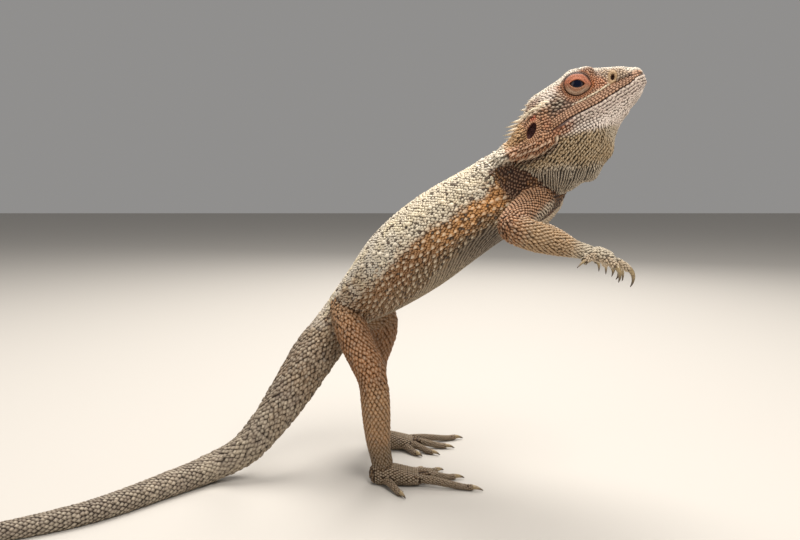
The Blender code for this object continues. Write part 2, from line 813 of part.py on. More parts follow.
def main():
    clear_scene()
    parts = collection("bearded_dragon")
    helpers = collection("cutters", hidden=True)
    body = fused_body(parts)
    pieces = name_parts(parted_body(body, parts, helpers), parts)
    for item, kind in pieces:
        facet(item, FACET_SHARES[kind])
        flatten_sole(item)
    pieces += eyes(parts)
    pieces += claws(parts)
    finish_pieces(pieces)


main()
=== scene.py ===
from math import asin, cos, degrees, pi, radians, sin

import bmesh
import bpy
import numpy as np
from mathutils import Matrix, Vector
from mathutils.bvhtree import BVHTree
from mathutils.kdtree import KDTree
from mathutils.noise import noise


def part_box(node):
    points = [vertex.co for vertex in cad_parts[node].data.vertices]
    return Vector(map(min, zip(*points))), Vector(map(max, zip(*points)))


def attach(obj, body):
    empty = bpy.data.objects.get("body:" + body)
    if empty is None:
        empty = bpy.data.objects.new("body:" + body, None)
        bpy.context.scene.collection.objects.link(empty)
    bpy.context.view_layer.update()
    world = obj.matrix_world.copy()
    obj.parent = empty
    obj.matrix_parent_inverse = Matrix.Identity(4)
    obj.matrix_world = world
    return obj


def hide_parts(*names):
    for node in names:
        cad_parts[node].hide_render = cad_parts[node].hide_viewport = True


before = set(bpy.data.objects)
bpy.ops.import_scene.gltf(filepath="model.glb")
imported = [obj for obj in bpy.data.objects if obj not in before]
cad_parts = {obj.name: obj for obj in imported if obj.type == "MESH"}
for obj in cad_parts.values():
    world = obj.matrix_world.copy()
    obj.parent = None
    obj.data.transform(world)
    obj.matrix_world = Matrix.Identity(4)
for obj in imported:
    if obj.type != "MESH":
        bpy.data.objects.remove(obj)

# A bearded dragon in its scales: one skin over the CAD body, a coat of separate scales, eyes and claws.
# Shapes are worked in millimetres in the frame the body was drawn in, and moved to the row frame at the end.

for startup in ("Cube", "Light", "Camera"):
    if startup in bpy.data.objects:
        bpy.data.objects.remove(bpy.data.objects[startup])
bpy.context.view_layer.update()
RNG = np.random.default_rng(23)

# ---------------------------------------------------------------- sizes, in mm
RING = 24  # points round a lofted section
STEPS = 5  # rings between two stations
SIDES = ("right", "left")
FLOOR = 0.35  # height of the floor in the frame the body was drawn in
SKIN_GRID = 0.62  # of the mesh that the masses run together into
SKIN_TRIANGLES = 188000
COAT_DEPTH = {"body": 0.5, "head": 0.3, "limb": 0.42, "digit": 0.2}
SPINE_DEPTH = 2.2
FOLD_LINE = ((8.6, -7.2), (5.0, -8.6), (1.0, -9.2), (-3.0, -9.1), (-6.5, -8.6), (-9.5, -7.2), (-12.0, -5.4))

# Trunk and tail: place of the section's centre, half width, rise to the back, drop to the belly.
SPINE = [
    (56.0, -40.0, 157.0, 10.0, 9.0, 9.0), (53.0, -38.0, 150.5, 13.0, 12.0, 12.0),
    (51.0, -35.0, 143.0, 15.0, 13.0, 14.0), (48.5, -30.0, 136.0, 17.0, 16.0, 17.0),
    (34.5, -20.0, 127.0, 20.0, 16.0, 16.0), (19.5, -7.0, 116.0, 23.0, 17.0, 17.0),
    (4.5, 6.0, 102.5, 23.5, 17.0, 17.0), (-10.0, 17.0, 88.5, 19.0, 14.0, 14.0),
    (-22.5, 24.0, 77.5, 14.0, 11.0, 10.5), (-32.5, 24.0, 65.5, 11.0, 10.0, 10.0),
    (-41.0, 20.0, 54.5, 10.4, 10.0, 10.0), (-51.0, 14.0, 39.0, 9.4, 9.0, 9.0),
    (-60.0, 9.0, 26.5, 8.2, 7.8, 7.8), (-71.0, 6.0, 14.5, 7.3, 7.0, 7.0), (-85.0, 3.0, 7.2, 6.4, 6.1, 6.1),
    (-101.0, -13.0, 5.0, 5.6, 5.3, 5.3), (-123.5, -39.0, 4.2, 4.7, 4.5, 4.5),
    (-148.0, -55.0, 3.5, 4.0, 3.8, 3.8), (-176.0, -66.0, 2.7, 3.2, 3.0, 3.0),
    (-203.0, -69.0, 2.0, 2.4, 2.3, 2.3), (-228.0, -65.0, 1.5, 1.7, 1.6, 1.6),
    (-243.0, -60.0, 1.2, 1.2, 1.2, 1.2),
]

# Head frame: origin between the ears, its pitch and its turn towards -Y.
HEAD_ORIGIN = np.array((50.0, -38.0, 155.0))
HEAD_PITCH = radians(23.3)
HEAD_TURN = radians(-12.7)

# Skull and jaws, in the head frame: along, height of the widest line, half width, rise, drop.
SKULL = [
    (46.4, 1.8, 2.4, 2.6, 2.2), (45.2, 2.0, 4.3, 4.4, 3.4), (42.5, 1.6, 5.9, 6.0, 5.4),
    (39.5, 1.2, 7.0, 8.0, 6.8), (34.5, 0.7, 8.4, 10.4, 8.6), (29.5, 0.0, 10.2, 13.2, 9.4),
    (26.0, 0.0, 11.4, 14.8, 10.0), (22.0, 0.0, 12.4, 15.6, 10.4), (17.0, 0.0, 13.6, 14.2, 10.6),
    (10.0, -1.0, 15.4, 14.0, 10.0), (4.0, -1.5, 16.4, 13.2, 9.5), (-2.0, -2.0, 16.2, 10.6, 9.0),
    (-7.0, -2.5, 14.5, 6.8, 7.5), (-12.0, -3.0, 11.5, 3.5, 5.5),
]

# Throat pouch, in the head frame: along, half width, lowest point.
BEARD = [
    (36.5, 4.0, -7.6), (32.5, 6.5, -10.0), (28.5, 8.5, -14.0), (25.5, 10.0, -18.8), (21.0, 11.5, -22.0),
    (16.0, 12.5, -26.0), (11.0, 13.2, -25.4), (5.0, 13.5, -26.4), (-1.0, 13.2, -24.0), (-6.0, 12.5, -19.5),
    (-10.0, 11.0, -13.8), (-12.5, 8.0, -9.5),
]
BEARD_TOP = -2.0
BEARD_WIDEST = -6.5

# Swellings of the head, one of each on both sides: centre and radii, in the head frame.
HEAD_SWELLINGS = [
    ((24.0, 7.4, 11.2), (6.6, 3.6, 3.2)), ((22.6, 8.0, 8.2), (6.8, 4.7, 5.8)),
    ((1.0, 11.8, -4.6), (9.5, 6.2, 5.8)), ((-8.5, 11.8, -5.2), (6.5, 4.6, 3.8)),
    ((36.0, 4.6, 5.4), (5.0, 3.2, 4.0)),
]
EYE = np.array((22.6, 8.7, 8.4))
EYE_RADIUS = 4.8
CORNEA = (0.028, 18, 32)  # how far it stands out, and the angles off the axis between which it fades

# Features of each side of the face, in the head frame, as along and high.
MOUTH = np.array((
        (7.0, -4.1), (8.0, -3.7), (9.4, -3.2), (12.6, -2.4), (15.9, -1.7), (19.5, -1.3), (22.9, -1.2),
        (27.7, -0.75), (32.7, 0.25), (37.1, 1.1), (39.9, 1.5), (45.1, 3.2),
))
LID_TILT = radians(-24)  # the eye's long axis, which lies level when the head is raised
LID_DOME = (6.3, 5.2, 5.1)  # half length, half height and bulge of the closed lids
LID_CREASE = (4.95, 3.95)
CREASE_SHAPE = (  # turn from the front corner, how far out the crease lies there
    (0, 24, 62, 90, 120, 178, 195, 228, 264, 315, 347, 360),
    (1.03, 0.93, 1.03, 1.0, 1.03, 0.97, 0.93, 0.98, 1.0, 0.90, 0.97, 1.03),
)
EYE_SLIT = (2.8, 1.46)
CROWN_EDGE = (  # along, share of the way down from the crown's middle where its pale colour ends
    (14, 19, 24, 28, 34, 37, 42),
    (0.19, 0.225, 0.24, 0.21, 0.14, 0.19, 0.27),
)
LID_COVER = 0.25  # least thickness of skin over the eyeball
NOSTRIL = (35.2, 6.0)
EAR = (1.4, -0.7)
EAR_TILT = radians(44)
EAR_SIZE = (1.5, 3.2)
NOSTRIL_SIZE = (0.75, 1.25)
NOSTRIL_TILT = radians(25)

# Limbs: place of the section's centre and its radius, from the root to the last joint.
LEGS = {
    "right": [
        (-24.5, 17.0, 77.0, 8.0), (-22.5, 8.0, 71.5, 7.4), (-18.5, 4.0, 62.0, 7.2), (-14.3, 0.0, 54.5, 6.9),
        (-12.0, -2.0, 47.5, 6.4), (-11.0, -2.0, 39.5, 6.5), (-10.5, -1.0, 30.0, 6.2),
        (-10.0, 0.0, 22.5, 5.7), (-9.2, 1.0, 15.5, 5.1), (-7.8, 1.0, 9.0, 4.8),
    ],
    "left": [
        (-18.0, 28.0, 76.5, 8.0), (-9.6, 34.5, 71.0, 7.5), (-8.6, 38.5, 63.0, 7.0),
        (-10.5, 42.5, 54.5, 6.4), (-12.6, 45.5, 46.5, 6.1), (-13.2, 47.0, 38.0, 6.3),
        (-12.6, 48.0, 29.0, 6.0), (-11.8, 48.0, 21.5, 5.5), (-11.0, 48.0, 14.8, 5.0),
        (-10.2, 48.0, 9.0, 4.8),
    ],
}
ARMS = {
    "right": [
        (53.0, -33.0, 133.0, 7.0), (53.0, -41.0, 130.0, 6.6), (48.5, -50.0, 127.0, 6.0),
        (42.5, -61.0, 123.2, 5.6), (39.8, -67.0, 120.4, 5.2), (44.5, -67.5, 118.4, 5.4),
        (50.0, -66.5, 116.5, 5.2), (57.2, -65.0, 114.2, 4.2), (63.0, -63.5, 112.4, 3.2),
        (68.5, -62.0, 111.0, 2.6),
    ],
    "left": [
        (57.0, -32.0, 133.0, 7.0), (59.8, -25.0, 129.5, 6.2), (59.0, -15.0, 124.5, 5.6),
        (57.5, -5.0, 119.5, 5.4), (56.5, 2.0, 115.6, 5.2), (60.0, -1.5, 114.2, 5.3),
        (64.0, -7.0, 112.8, 5.1), (68.5, -14.0, 111.0, 4.2), (71.5, -19.5, 109.6, 3.2),
        (74.0, -25.0, 108.4, 2.6),
    ],
}

# Feet, in a frame at the ankle with x along the foot and y towards its inner side.
SOLES = [  # along, height, half width, half thickness
    (-5.5, 4.6, 3.6, 4.2), (-1.0, 5.0, 5.2, 5.0), (6.0, 4.4, 6.0, 4.4), (12.5, 3.6, 6.8, 3.4),
    (17.0, 3.0, 6.2, 2.7),
]
TOES = {  # base x, y; tip x, y; radius at the base
    "1": (11.0, 4.6, 18.0, 14.0, 1.7),
    "2": (14.0, 3.6, 26.0, 12.5, 1.9),
    "3": (15.0, 0.2, 34.0, 4.0, 2.0),
    "4": (14.0, -3.6, 41.0, -9.5, 2.0),
    "5": (1.5, -4.0, 9.0, -16.5, 1.8),
}
HEEL_LENGTH = 4.0  # over which the heel, and the heel of the hand, round off
TOE_TIP_RADIUS = 1.35
TOE_TIP_HEIGHT = 1.4
TOE_ARCH = ((-0.15, 0.2), (0.25, 0.7), (0.55, 0.4), (0.82, -0.1), (1.0, 0.4))  # share, lift
ANKLES = {"right": ((-8.5, 1.0), 0.0, 1), "left": ((-10.5, 48.0), 6.0, -1)}

# Hands: palm stations, then finger tips from the innermost to the outermost.
PALMS = {
    "right": [
        (68.5, -62.0, 111.0, 2.9, 2.5), (72.2, -61.5, 110.2, 4.0, 2.7), (76.0, -60.8, 109.0, 4.4, 2.2),
    ],
    "left": [
        (74.0, -25.0, 108.4, 2.9, 2.5), (77.2, -23.8, 107.4, 4.0, 2.7), (80.4, -22.6, 106.3, 4.4, 2.2),
    ],
}
FINGER_TIPS = {
    "right": {
        "1": (77.5, -50.0, 105.4),
        "2": (82.2, -53.5, 104.4),
        "3": (83.8, -59.0, 104.6),
        "4": (77.0, -67.2, 106.2),
        "5": (65.2, -67.8, 108.4),
    },
    "left": {
        "1": (78.8, -32.5, 104.8),
        "2": (84.4, -29.0, 103.4),
        "3": (88.0, -23.4, 102.8),
        "4": (88.4, -17.0, 103.0),
        "5": (82.0, -11.5, 105.0),
    },
}
FINGER_RADIUS = 1.75
FINGER_TIP_RADIUS = 1.4

# Claws: length, and the angle below the horizon that the tip has bent to, in degrees.
CLAW_RADIUS = 0.95
CLAW_RINGS = 12
CLAW_SIDES = 12
CLAW_SECTION = (0.86, 1.12, 0.92)  # half width, rise and drop as shares of the radius
CLAW_ROOT = 0.5  # how deep the claw starts in its finger
HAND_CLAW = {  # length, angle, thickness
    "1": (4.4, 105, 0.8),
    "2": (5.6, 110, 0.85),
    "3": (7.4, 124, 1.0),
    "4": (5.8, 112, 0.95),
    "5": (4.6, 30, 0.6),
}
FOOT_CLAW = {
    "1": (3.4, 30, 1.0),
    "2": (4.0, 28, 1.0),
    "3": (4.4, 26, 1.0),
    "4": (4.6, 26, 1.0),
    "5": (3.8, 28, 1.0),
}

# The coat: where the kinds of scale change, and how finely they stand.
HIP_ROW = 8.8  # where the trunk's scales give way to the tail's
NECK_ROW = 3.5
BACK_EDGE = 0.42  # share of the way from the spine to the belly's middle where the cream back ends
FINE_BACK = 0.76  # the back's and flanks' scales against the belly's
HEEL_TURN = -0.6  # past this the skin faces back up the limb, and the rings leave it to the fill
FILE_STEP = 0.4  # between two places on a line of the beard
PATCH = 0.003  # size of one scale on the unwrap
SPECK_SHARE = 0.07  # of the back's and flanks' small scales, the dark ones
AWAY = 9.0  # stands for well away from a feature of the face

# The studio, in metres in the row frame, and the camera in the frame the body was drawn in.
LAMPS = (  # name, place, what it is aimed at, size, power
    ("key", (0.35, -0.55, 0.85), (0, 0, 0.09), 0.55, 7.5),
    ("top", (0.05, 0.20, 0.95), (0, 0, 0.1), 0.7, 11.0),
    ("fill", (-0.8, -0.6, 0.45), (0, 0, 0.08), 0.8, 1.6),
    ("rim", (0.25, 0.8, 0.55), (0, 0, 0.12), 0.4, 3.0),
)
LAMP_COLOUR = (1.0, 0.955, 0.90)
SKY_COLOUR = (1.0, 0.98, 0.96, 1)
SKY_STRENGTH = 0.28
CAMERA_PLACE = (0, -350, 137)
CAMERA_DIP = 6.4  # degrees below level
CAMERA_LENS = 36.0  # mm, on a sensor as wide


# ---------------------------------------------------------------- colours
def tint(red, green, blue):
    """A colour from 0-255 screen values, as linear light."""
    value = np.array((red, green, blue)) / 255
    return np.where(value <= 0.04045, value / 12.92, ((value + 0.055) / 1.055) ** 2.4)


CREAM = tint(228, 219, 202)
BONE = tint(236, 224, 200)
SPECK_GREY = tint(104, 90, 80)
SPECK_DARK = tint(84, 70, 60)
BACK_YELLOW = tint(222, 206, 158)
BACK_BLUE = tint(188, 186, 190)
CHEEK_YELLOW = tint(190, 150, 100)
TEMPLE_WHITE = tint(222, 210, 202)
LIP_RUST = tint(150, 92, 70)
SNOUT_OLIVE = tint(158, 132, 108)
NOSTRIL_PLATE = tint(184, 158, 124)
FLANK_BROWN = tint(146, 98, 50)
FLANK_RUST = tint(220, 160, 94)
FLANK_OLIVE = tint(126, 94, 58)
BELLY = tint(150, 133, 110)
# painted shade on the belly's front, under the chest
BELLY_PAINTED_SHADE = tint(84, 68, 54)
HIP = tint(128, 90, 52)
THIGH = tint(132, 84, 40)
SHANK = tint(146, 106, 66)
# the feet's dark brown, deepened by painted shadow
FOOT_AND_PAINTED_SHADOW = tint(88, 60, 26)
TAIL_BASE = tint(118, 95, 72)
TAIL_MID = tint(136, 123, 107)
TAIL_END = tint(122, 110, 97)
UPPER_ARM = tint(146, 95, 54)
FOREARM = tint(158, 121, 79)
HAND = tint(190, 178, 158)
CHEST_GREY = tint(184, 168, 148)
FACE_ORANGE = tint(170, 114, 80)
FACE_RUST = tint(186, 108, 58)
CHEEK_RUST = tint(168, 108, 74)
# painted shade under the ridge of cream scales on the temple
TEMPLE_PAINTED_SHADE = tint(92, 72, 60)
RIDGE_CREAM = tint(226, 208, 180)
EAR_RUST = tint(176, 84, 50)
BEARD_PALE = tint(170, 156, 136)
FOLD = tint(164, 110, 74)
# painted shadow under the jaw's spiny fold
FOLD_PAINTED_SHADOW = tint(92, 60, 38)
LID_TOP = tint(180, 108, 78)
LID_LOW = tint(180, 132, 104)
LID_PALE = tint(186, 158, 136)
MOUTH_GREY = tint(122, 102, 100)
# painted shade in the sunken nostril opening, and the colour of a dark spot in front of it
NOSTRIL_SHADE_AND_SPOT = tint(84, 56, 46)
CROWN = tint(218, 208, 194)
SNOUT = tint(196, 170, 146)
UPPER_LIP = tint(184, 140, 112)
LOWER_LIP = tint(194, 176, 168)
CHIN = tint(222, 208, 200)
BEARD_YELLOW = tint(148, 122, 86)
BEARD_GREY = tint(176, 164, 148)
CHEEK = tint(172, 124, 90)
TEMPLE = tint(150, 120, 104)
# painted shade of the neck's recess, between the jaw's fold and the shoulder and under the back of the head
NECK_PAINTED_SHADE = tint(104, 68, 46)
# painted shade in the sunken ear opening
EAR_PAINTED_SHADE = tint(78, 44, 44)
# painted shade for creases and slits: round and over the lids, along the mouth and under the snout's edge
PAINTED_CREASE_SHADE = tint(74, 44, 32)
IRIS = tint(52, 44, 50)
IRIS_FLECK = tint(86, 72, 72)
IRIS_RIM = tint(40, 24, 22)
# a black pupil tinted navy as a painted blue reflection
PUPIL_WITH_PAINTED_REFLECTION = tint(8, 13, 34)
EYE_WHITE = tint(74, 46, 38)
HORN = tint(164, 144, 106)
HORN_STREAK = tint(122, 101, 70)
HORN_TIP = tint(66, 50, 36)
FLOOR_PALE = tint(188, 184, 178)


# ---------------------------------------------------------------- numbers
def fade(low, high, value):
    """0 below low, 1 above high and a smooth rise between, either way round."""
    share = np.clip((np.asarray(value, float) - low) / (high - low), 0, 1)
    return share * share * (3 - 2 * share)


def bump(centre, reach, value):
    """1 at centre, falling smoothly to 0 at reach on both sides."""
    return 1 - fade(0, reach, abs(np.asarray(value, float) - centre))


def bell(value, centre, width):
    """1 at centre, falling away on both sides as a bell curve does."""
    return np.exp(-(((value - centre) / width) ** 2))


def unit(vectors):
    return vectors / np.maximum(np.linalg.norm(vectors, axis=-1, keepdims=True), 1e-9)


def square_to(vectors, normals):
    """The vectors flattened into the planes square to the normals, at unit length."""
    return unit(vectors - normals * (vectors * normals).sum(-1, keepdims=True))


def mottle(points, size, seed=0.0):
    """Cloudy noise from -1 to 1 at these points, with lumps of about this size."""
    offset = Vector((seed, seed * 1.7, -seed))
    return np.array([noise(Vector(point) / size + offset) for point in points])


def finer(rows):
    """The rows of a table with Catmull-Rom rows between them."""
    rows = np.array(rows, float)
    padded = np.vstack([rows[:1], rows, rows[-1:]])
    t = (np.arange(STEPS) / STEPS)[:, None]
    made = []
    for i in range(len(rows) - 1):
        p, q, r, s = padded[i : i + 4]
        made.append(
            0.5 * (2 * q + (r - p) * t + (2 * p - 5 * q + 4 * r - s) * t**2 + (3 * q - p - 3 * r + s) * t**3)
        )
    return np.vstack(made + [rows[-1:]])


# ---------------------------------------------------------------- head frame
def head_axes():
    """Matrix whose columns are the head's forward, left and up axes."""
    forward = np.array((cos(HEAD_TURN) * cos(HEAD_PITCH), sin(HEAD_TURN) * cos(HEAD_PITCH), sin(HEAD_PITCH)))
    left = np.array((-sin(HEAD_TURN), cos(HEAD_TURN), 0))
    return np.stack([forward, left, np.cross(forward, left)], axis=1)


HEAD = head_axes()


def from_head(points):
    return HEAD_ORIGIN + np.asarray(points, float) @ HEAD.T


def to_head(points):
    return (np.asarray(points, float) - HEAD_ORIGIN) @ HEAD


def turned(along, high, tilt, centre=(0, 0)):
    """Places in the head's side view, moved there from a mark that leans by tilt."""
    return (
        centre[0] + along * cos(tilt) - high * sin(tilt),
        centre[1] + along * sin(tilt) + high * cos(tilt),
    )


def head_spot(x, z, centre, size, tilt=0.0):
    """1 at a place in the head's side view, falling smoothly to 0 at size away along and across."""
    along, high = turned(x - centre[0], z - centre[1], -radians(tilt))
    return 1 - fade(0.35, 1.0, np.hypot(along / size[0], high / size[1]))


def mouth_height(along):
    return np.interp(along, MOUTH[:, 0], MOUTH[:, 1])


def crease_out(turn):
    """How far out the crease round the lids lies, as a share of its oval."""
    return np.interp(np.degrees(turn) % 360, *CREASE_SHAPE)


def canthus_lift(along):
    """Height over the mouth line of the pale edge that runs from under the eye to the snout."""
    return np.interp(along, (20, 25, 33, 38, 42), (3.6, 3.75, 3.7, 3.1, 2.6))


def jaw_depth(along):
    """How far under the mouth line the rows of the lower jaw reach, before the beard's files begin."""
    return np.interp(along, (8, 13, 33, 40), (4.2, 6.6, 6.6, 4.6))


def corner_share(along):
    """1 where the corner of the mouth shows its bare grey lip, 0 away from it."""
    return bell(along, 14.2, 3.4)


def fold_height(along):
    """Height of the lower edge of the jaw's spiny fold."""
    line = np.array(FOLD_LINE)[::-1]
    return np.interp(along, line[:, 0], line[:, 1])


# ---------------------------------------------------------------- paths: the runs of sections
class Path:
    """A run of sections. grain is a table of row and width of a scale, and axes are fixed (across, up)."""

    def __init__(self, name, kind, group, rows, grain, level=(0, 0, 1), exponent=2.3, axes=None):
        rows = finer(rows)
        count = len(rows)
        self.name, self.kind, self.group, self.exponent = name, kind, group, exponent
        self.centre = rows[:, :3]
        self.half, self.rise, self.drop = rows[:, 3], rows[:, 4], rows[:, 5]
        ahead = np.minimum(np.arange(count) + 1, count - 1)
        behind = np.maximum(np.arange(count) - 1, 0)
        self.tangent = unit(self.centre[ahead] - self.centre[behind])
        if axes is None:
            self.lateral = unit(np.cross(np.array(level, float), self.tangent))
            self.up = unit(np.cross(self.tangent, self.lateral))
        else:
            self.lateral = np.tile(axes[0], (count, 1))
            self.up = np.tile(axes[1], (count, 1))
        self.row = np.arange(count) / STEPS
        lengths = np.linalg.norm(np.diff(self.centre, axis=0), axis=1)
        self.along = np.concatenate([[0], np.cumsum(lengths)])
        self.grain = np.asarray(grain, float)

    def grain_at(self, row):
        """Width of a scale on this row of the path's table."""
        return np.interp(row, self.grain[:, 0], self.grain[:, 1])

    def at(self, along):
        """(centre, tangent, lateral, up, half, rise, drop, row) at a length along the path."""

        def between(values):
            if values.ndim == 1:
                return np.interp(along, self.along, values)
            return np.array([np.interp(along, self.along, values[:, k]) for k in range(3)])

        axes = [unit(between(axis)) for axis in (self.tangent, self.lateral, self.up)]
        return between(self.centre), *axes, *map(between, (self.half, self.rise, self.drop, self.row))


def outline(angles, half, rise, drop, exponent):
    """(across, high) on a superellipse at angles from the top, turning to the lateral side."""
    across, high = np.sin(angles), np.cos(angles)
    tall = np.where(high >= 0, rise, drop)
    return (
        half * np.abs(across) ** (2 / exponent) * np.sign(across),
        tall * np.abs(high) ** (2 / exponent) * np.sign(high),
    )


def round_rows(rows):
    return [(x, y, z, r, r, r) for x, y, z, r in rows]


def foot_point(side, along, inner, high):
    (x, y), heading, hand = ANKLES[side]
    turn = radians(heading)
    forward = np.array((cos(turn), sin(turn), 0))
    inward = np.array((-sin(turn), cos(turn), 0)) * hand
    return np.array((x, y, 0)) + forward * along + inward * inner + np.array((0, 0, high))


def toe_rows(side, toe):
    """Stations along a toe, a little arched over its joints, to past the claw's root."""
    bx, by, tx, ty, radius = TOES[toe]
    rows = []
    for share, lift in TOE_ARCH:
        high = radius * 1.7 + (TOE_TIP_HEIGHT - radius * 1.7) * max(share, 0) + lift
        place = foot_point(side, bx + (tx - bx) * share, by + (ty - by) * share, high)
        rows.append((*place, radius + (TOE_TIP_RADIUS - radius) * max(share, 0)))
    return rows


def finger_rows(side, finger):
    """Stations from inside the palm to the finger's tip."""
    palm, knuckle = (np.array(row[:3]) for row in PALMS[side][1:])
    tip = np.array(FINGER_TIPS[side][finger])
    base = palm + (tip - palm) * 0.25 + unit(np.cross(tip - knuckle, (0, 0, 1))) * 0.2
    rows = []
    for share, lift in ((0.0, 0.0), (0.35, 0.5), (0.7, 0.45), (1.0, 0.0)):
        place = base + (tip - base) * share + np.array((0, 0, lift))
        rows.append((*place, FINGER_RADIUS + (FINGER_TIP_RADIUS - FINGER_RADIUS) * share))
    return rows


def body_paths():
    spine_grain = ((0, 1.3), (2, 1.35), (4, 1.6), (7, 1.75), (8.5, 2.1), (10, 2.45), (12, 2.5))
    spine_grain += ((14, 2.3), (16, 2.0), (18, 1.6), (21, 1.0))
    made = [Path("spine", "body", "body", SPINE, spine_grain)]
    side_axes = (HEAD[:, 1], HEAD[:, 2])
    skull = [(*from_head((x, 0, middle)), w, rise, drop) for x, middle, w, rise, drop in SKULL]
    made.append(Path("skull", "head", "head", skull, ((0, 1.4), (13, 1.4)), exponent=2.15, axes=side_axes))
    beard_rise = BEARD_TOP - BEARD_WIDEST
    beard = [(*from_head((x, 0, BEARD_WIDEST)), w, beard_rise, BEARD_WIDEST - low) for x, w, low in BEARD]
    made.append(Path("beard", "head", "head", beard, ((0, 1.1), (11, 1.1)), exponent=2.0, axes=side_axes))
    for side in SIDES:
        leg, arm = f"leg_{side}", f"arm_{side}"
        leg_grain = ((0, 2.3), (4, 2.15), (7, 1.75), (9, 1.35))
        arm_grain = ((0, 1.5), (4, 1.55), (7, 1.45), (9, 1.25))
        made.append(Path(leg, "limb", leg, round_rows(LEGS[side]), leg_grain, (0, 1, 0), 2.0))
        made.append(Path(arm, "limb", arm, round_rows(ARMS[side]), arm_grain, exponent=2.0))
        inward = (foot_point(side, 0, 1, 0) - foot_point(side, 0, 0, 0), np.array((0, 0, 1.0)))
        sole = [(*foot_point(side, x, 0, z), w, t, t) for x, z, w, t in SOLES]
        made.append(Path(f"sole_{side}", "digit", leg, sole, ((0, 1.3), (4, 1.2)), axes=inward))
        for toe in TOES:
            rows = round_rows(toe_rows(side, toe))
            made.append(Path(f"toe_{side}_{toe}", "digit", leg, rows, ((0, 1.2), (4, 0.95)), exponent=2.0))
        palm = [(x, y, z, w, t, t) for x, y, z, w, t in PALMS[side]]
        made.append(Path(f"palm_{side}", "digit", arm, palm, ((0, 1.25), (2, 1.2))))
        for finger in FINGER_TIPS[side]:
            rows = round_rows(finger_rows(side, finger))
            grain = ((0, 1.2), (3, 1.0))
            made.append(Path(f"finger_{side}_{finger}", "digit", arm, rows, grain, (0, 1, 0), exponent=2.0))
    return made


PATHS = body_paths()
NUMBER = {path.name: k for k, path in enumerate(PATHS)}
HEAD_PATHS = (NUMBER["skull"], NUMBER["beard"])


def locate(points):
    """Where points lie on the body: number of their path, row, angle from the top, length along."""
    points = np.asarray(points, float)
    best = np.full(len(points), 1e9)
    which = np.zeros(len(points), int)
    row, angle, along = (np.zeros(len(points)) for _ in range(3))
    for number, path in enumerate(PATHS):
        reach = max(path.half.max(), path.rise.max()) + 8
        inside = (points > path.centre.min(0) - reach) & (points < path.centre.max(0) + reach)
        near = np.flatnonzero(inside.all(1))
        if not len(near):
            continue
        p = points[near]
        apart = (p**2).sum(1)[:, None] - 2 * p @ path.centre.T + (path.centre**2).sum(1)
        i = apart.argmin(1)
        v = p - path.centre[i]
        a, b, c = ((v * axis[i]).sum(1) for axis in (path.lateral, path.up, path.tangent))
        half, tall = path.half[i], np.where(b >= 0, path.rise[i], path.drop[i])
        level = np.sqrt((a / half) ** 2 + (b / tall) ** 2 + (c / half) ** 2)
        gap = (level - 1) * np.minimum(half, tall)
        closer = gap < best[near]
        k = near[closer]
        best[k], which[k] = gap[closer], number
        step = np.gradient(path.along)[i]
        row[k] = (path.row[i] + np.clip(c / step, -1, 1) / STEPS)[closer]
        along[k] = (path.along[i] + c)[closer]
        angle[k] = np.arctan2(a / half, b / tall)[closer]
    return which, row, angle, along


def rolled(row, angle):
    """Share of the way from the spine to the belly's middle: the trunk is turned a little on its axis."""
    roll = np.interp(row, (2, 3.5, 4.5, 6.5, 8, 9.5), (0, 0.08, 0.14, 0.18, 0.12, 0))
    return np.abs((np.asarray(angle) / pi - roll + 1) % 2 - 1)


def belly_edge(row):
    """Where the belly's scales begin, as a share of the way from the spine."""
    return np.interp(row, (3.7, 4.55, 5.6, 6.7, 8.5), (0.675, 0.69, 0.745, 0.78, 0.80))


class Paint:
    """Colours laid over one another at many points."""

    def __init__(self, count, base):
        self.colour = np.tile(base, (count, 1))

    def on(self, region):
        """Gives what lays a colour over this region, by a share from 0 to 1 at each point."""

        def lay(colour, share=1):
            mask = np.clip(region * share, 0, 1)[:, None]
            self.colour = self.colour * (1 - mask) + colour * mask

        return lay


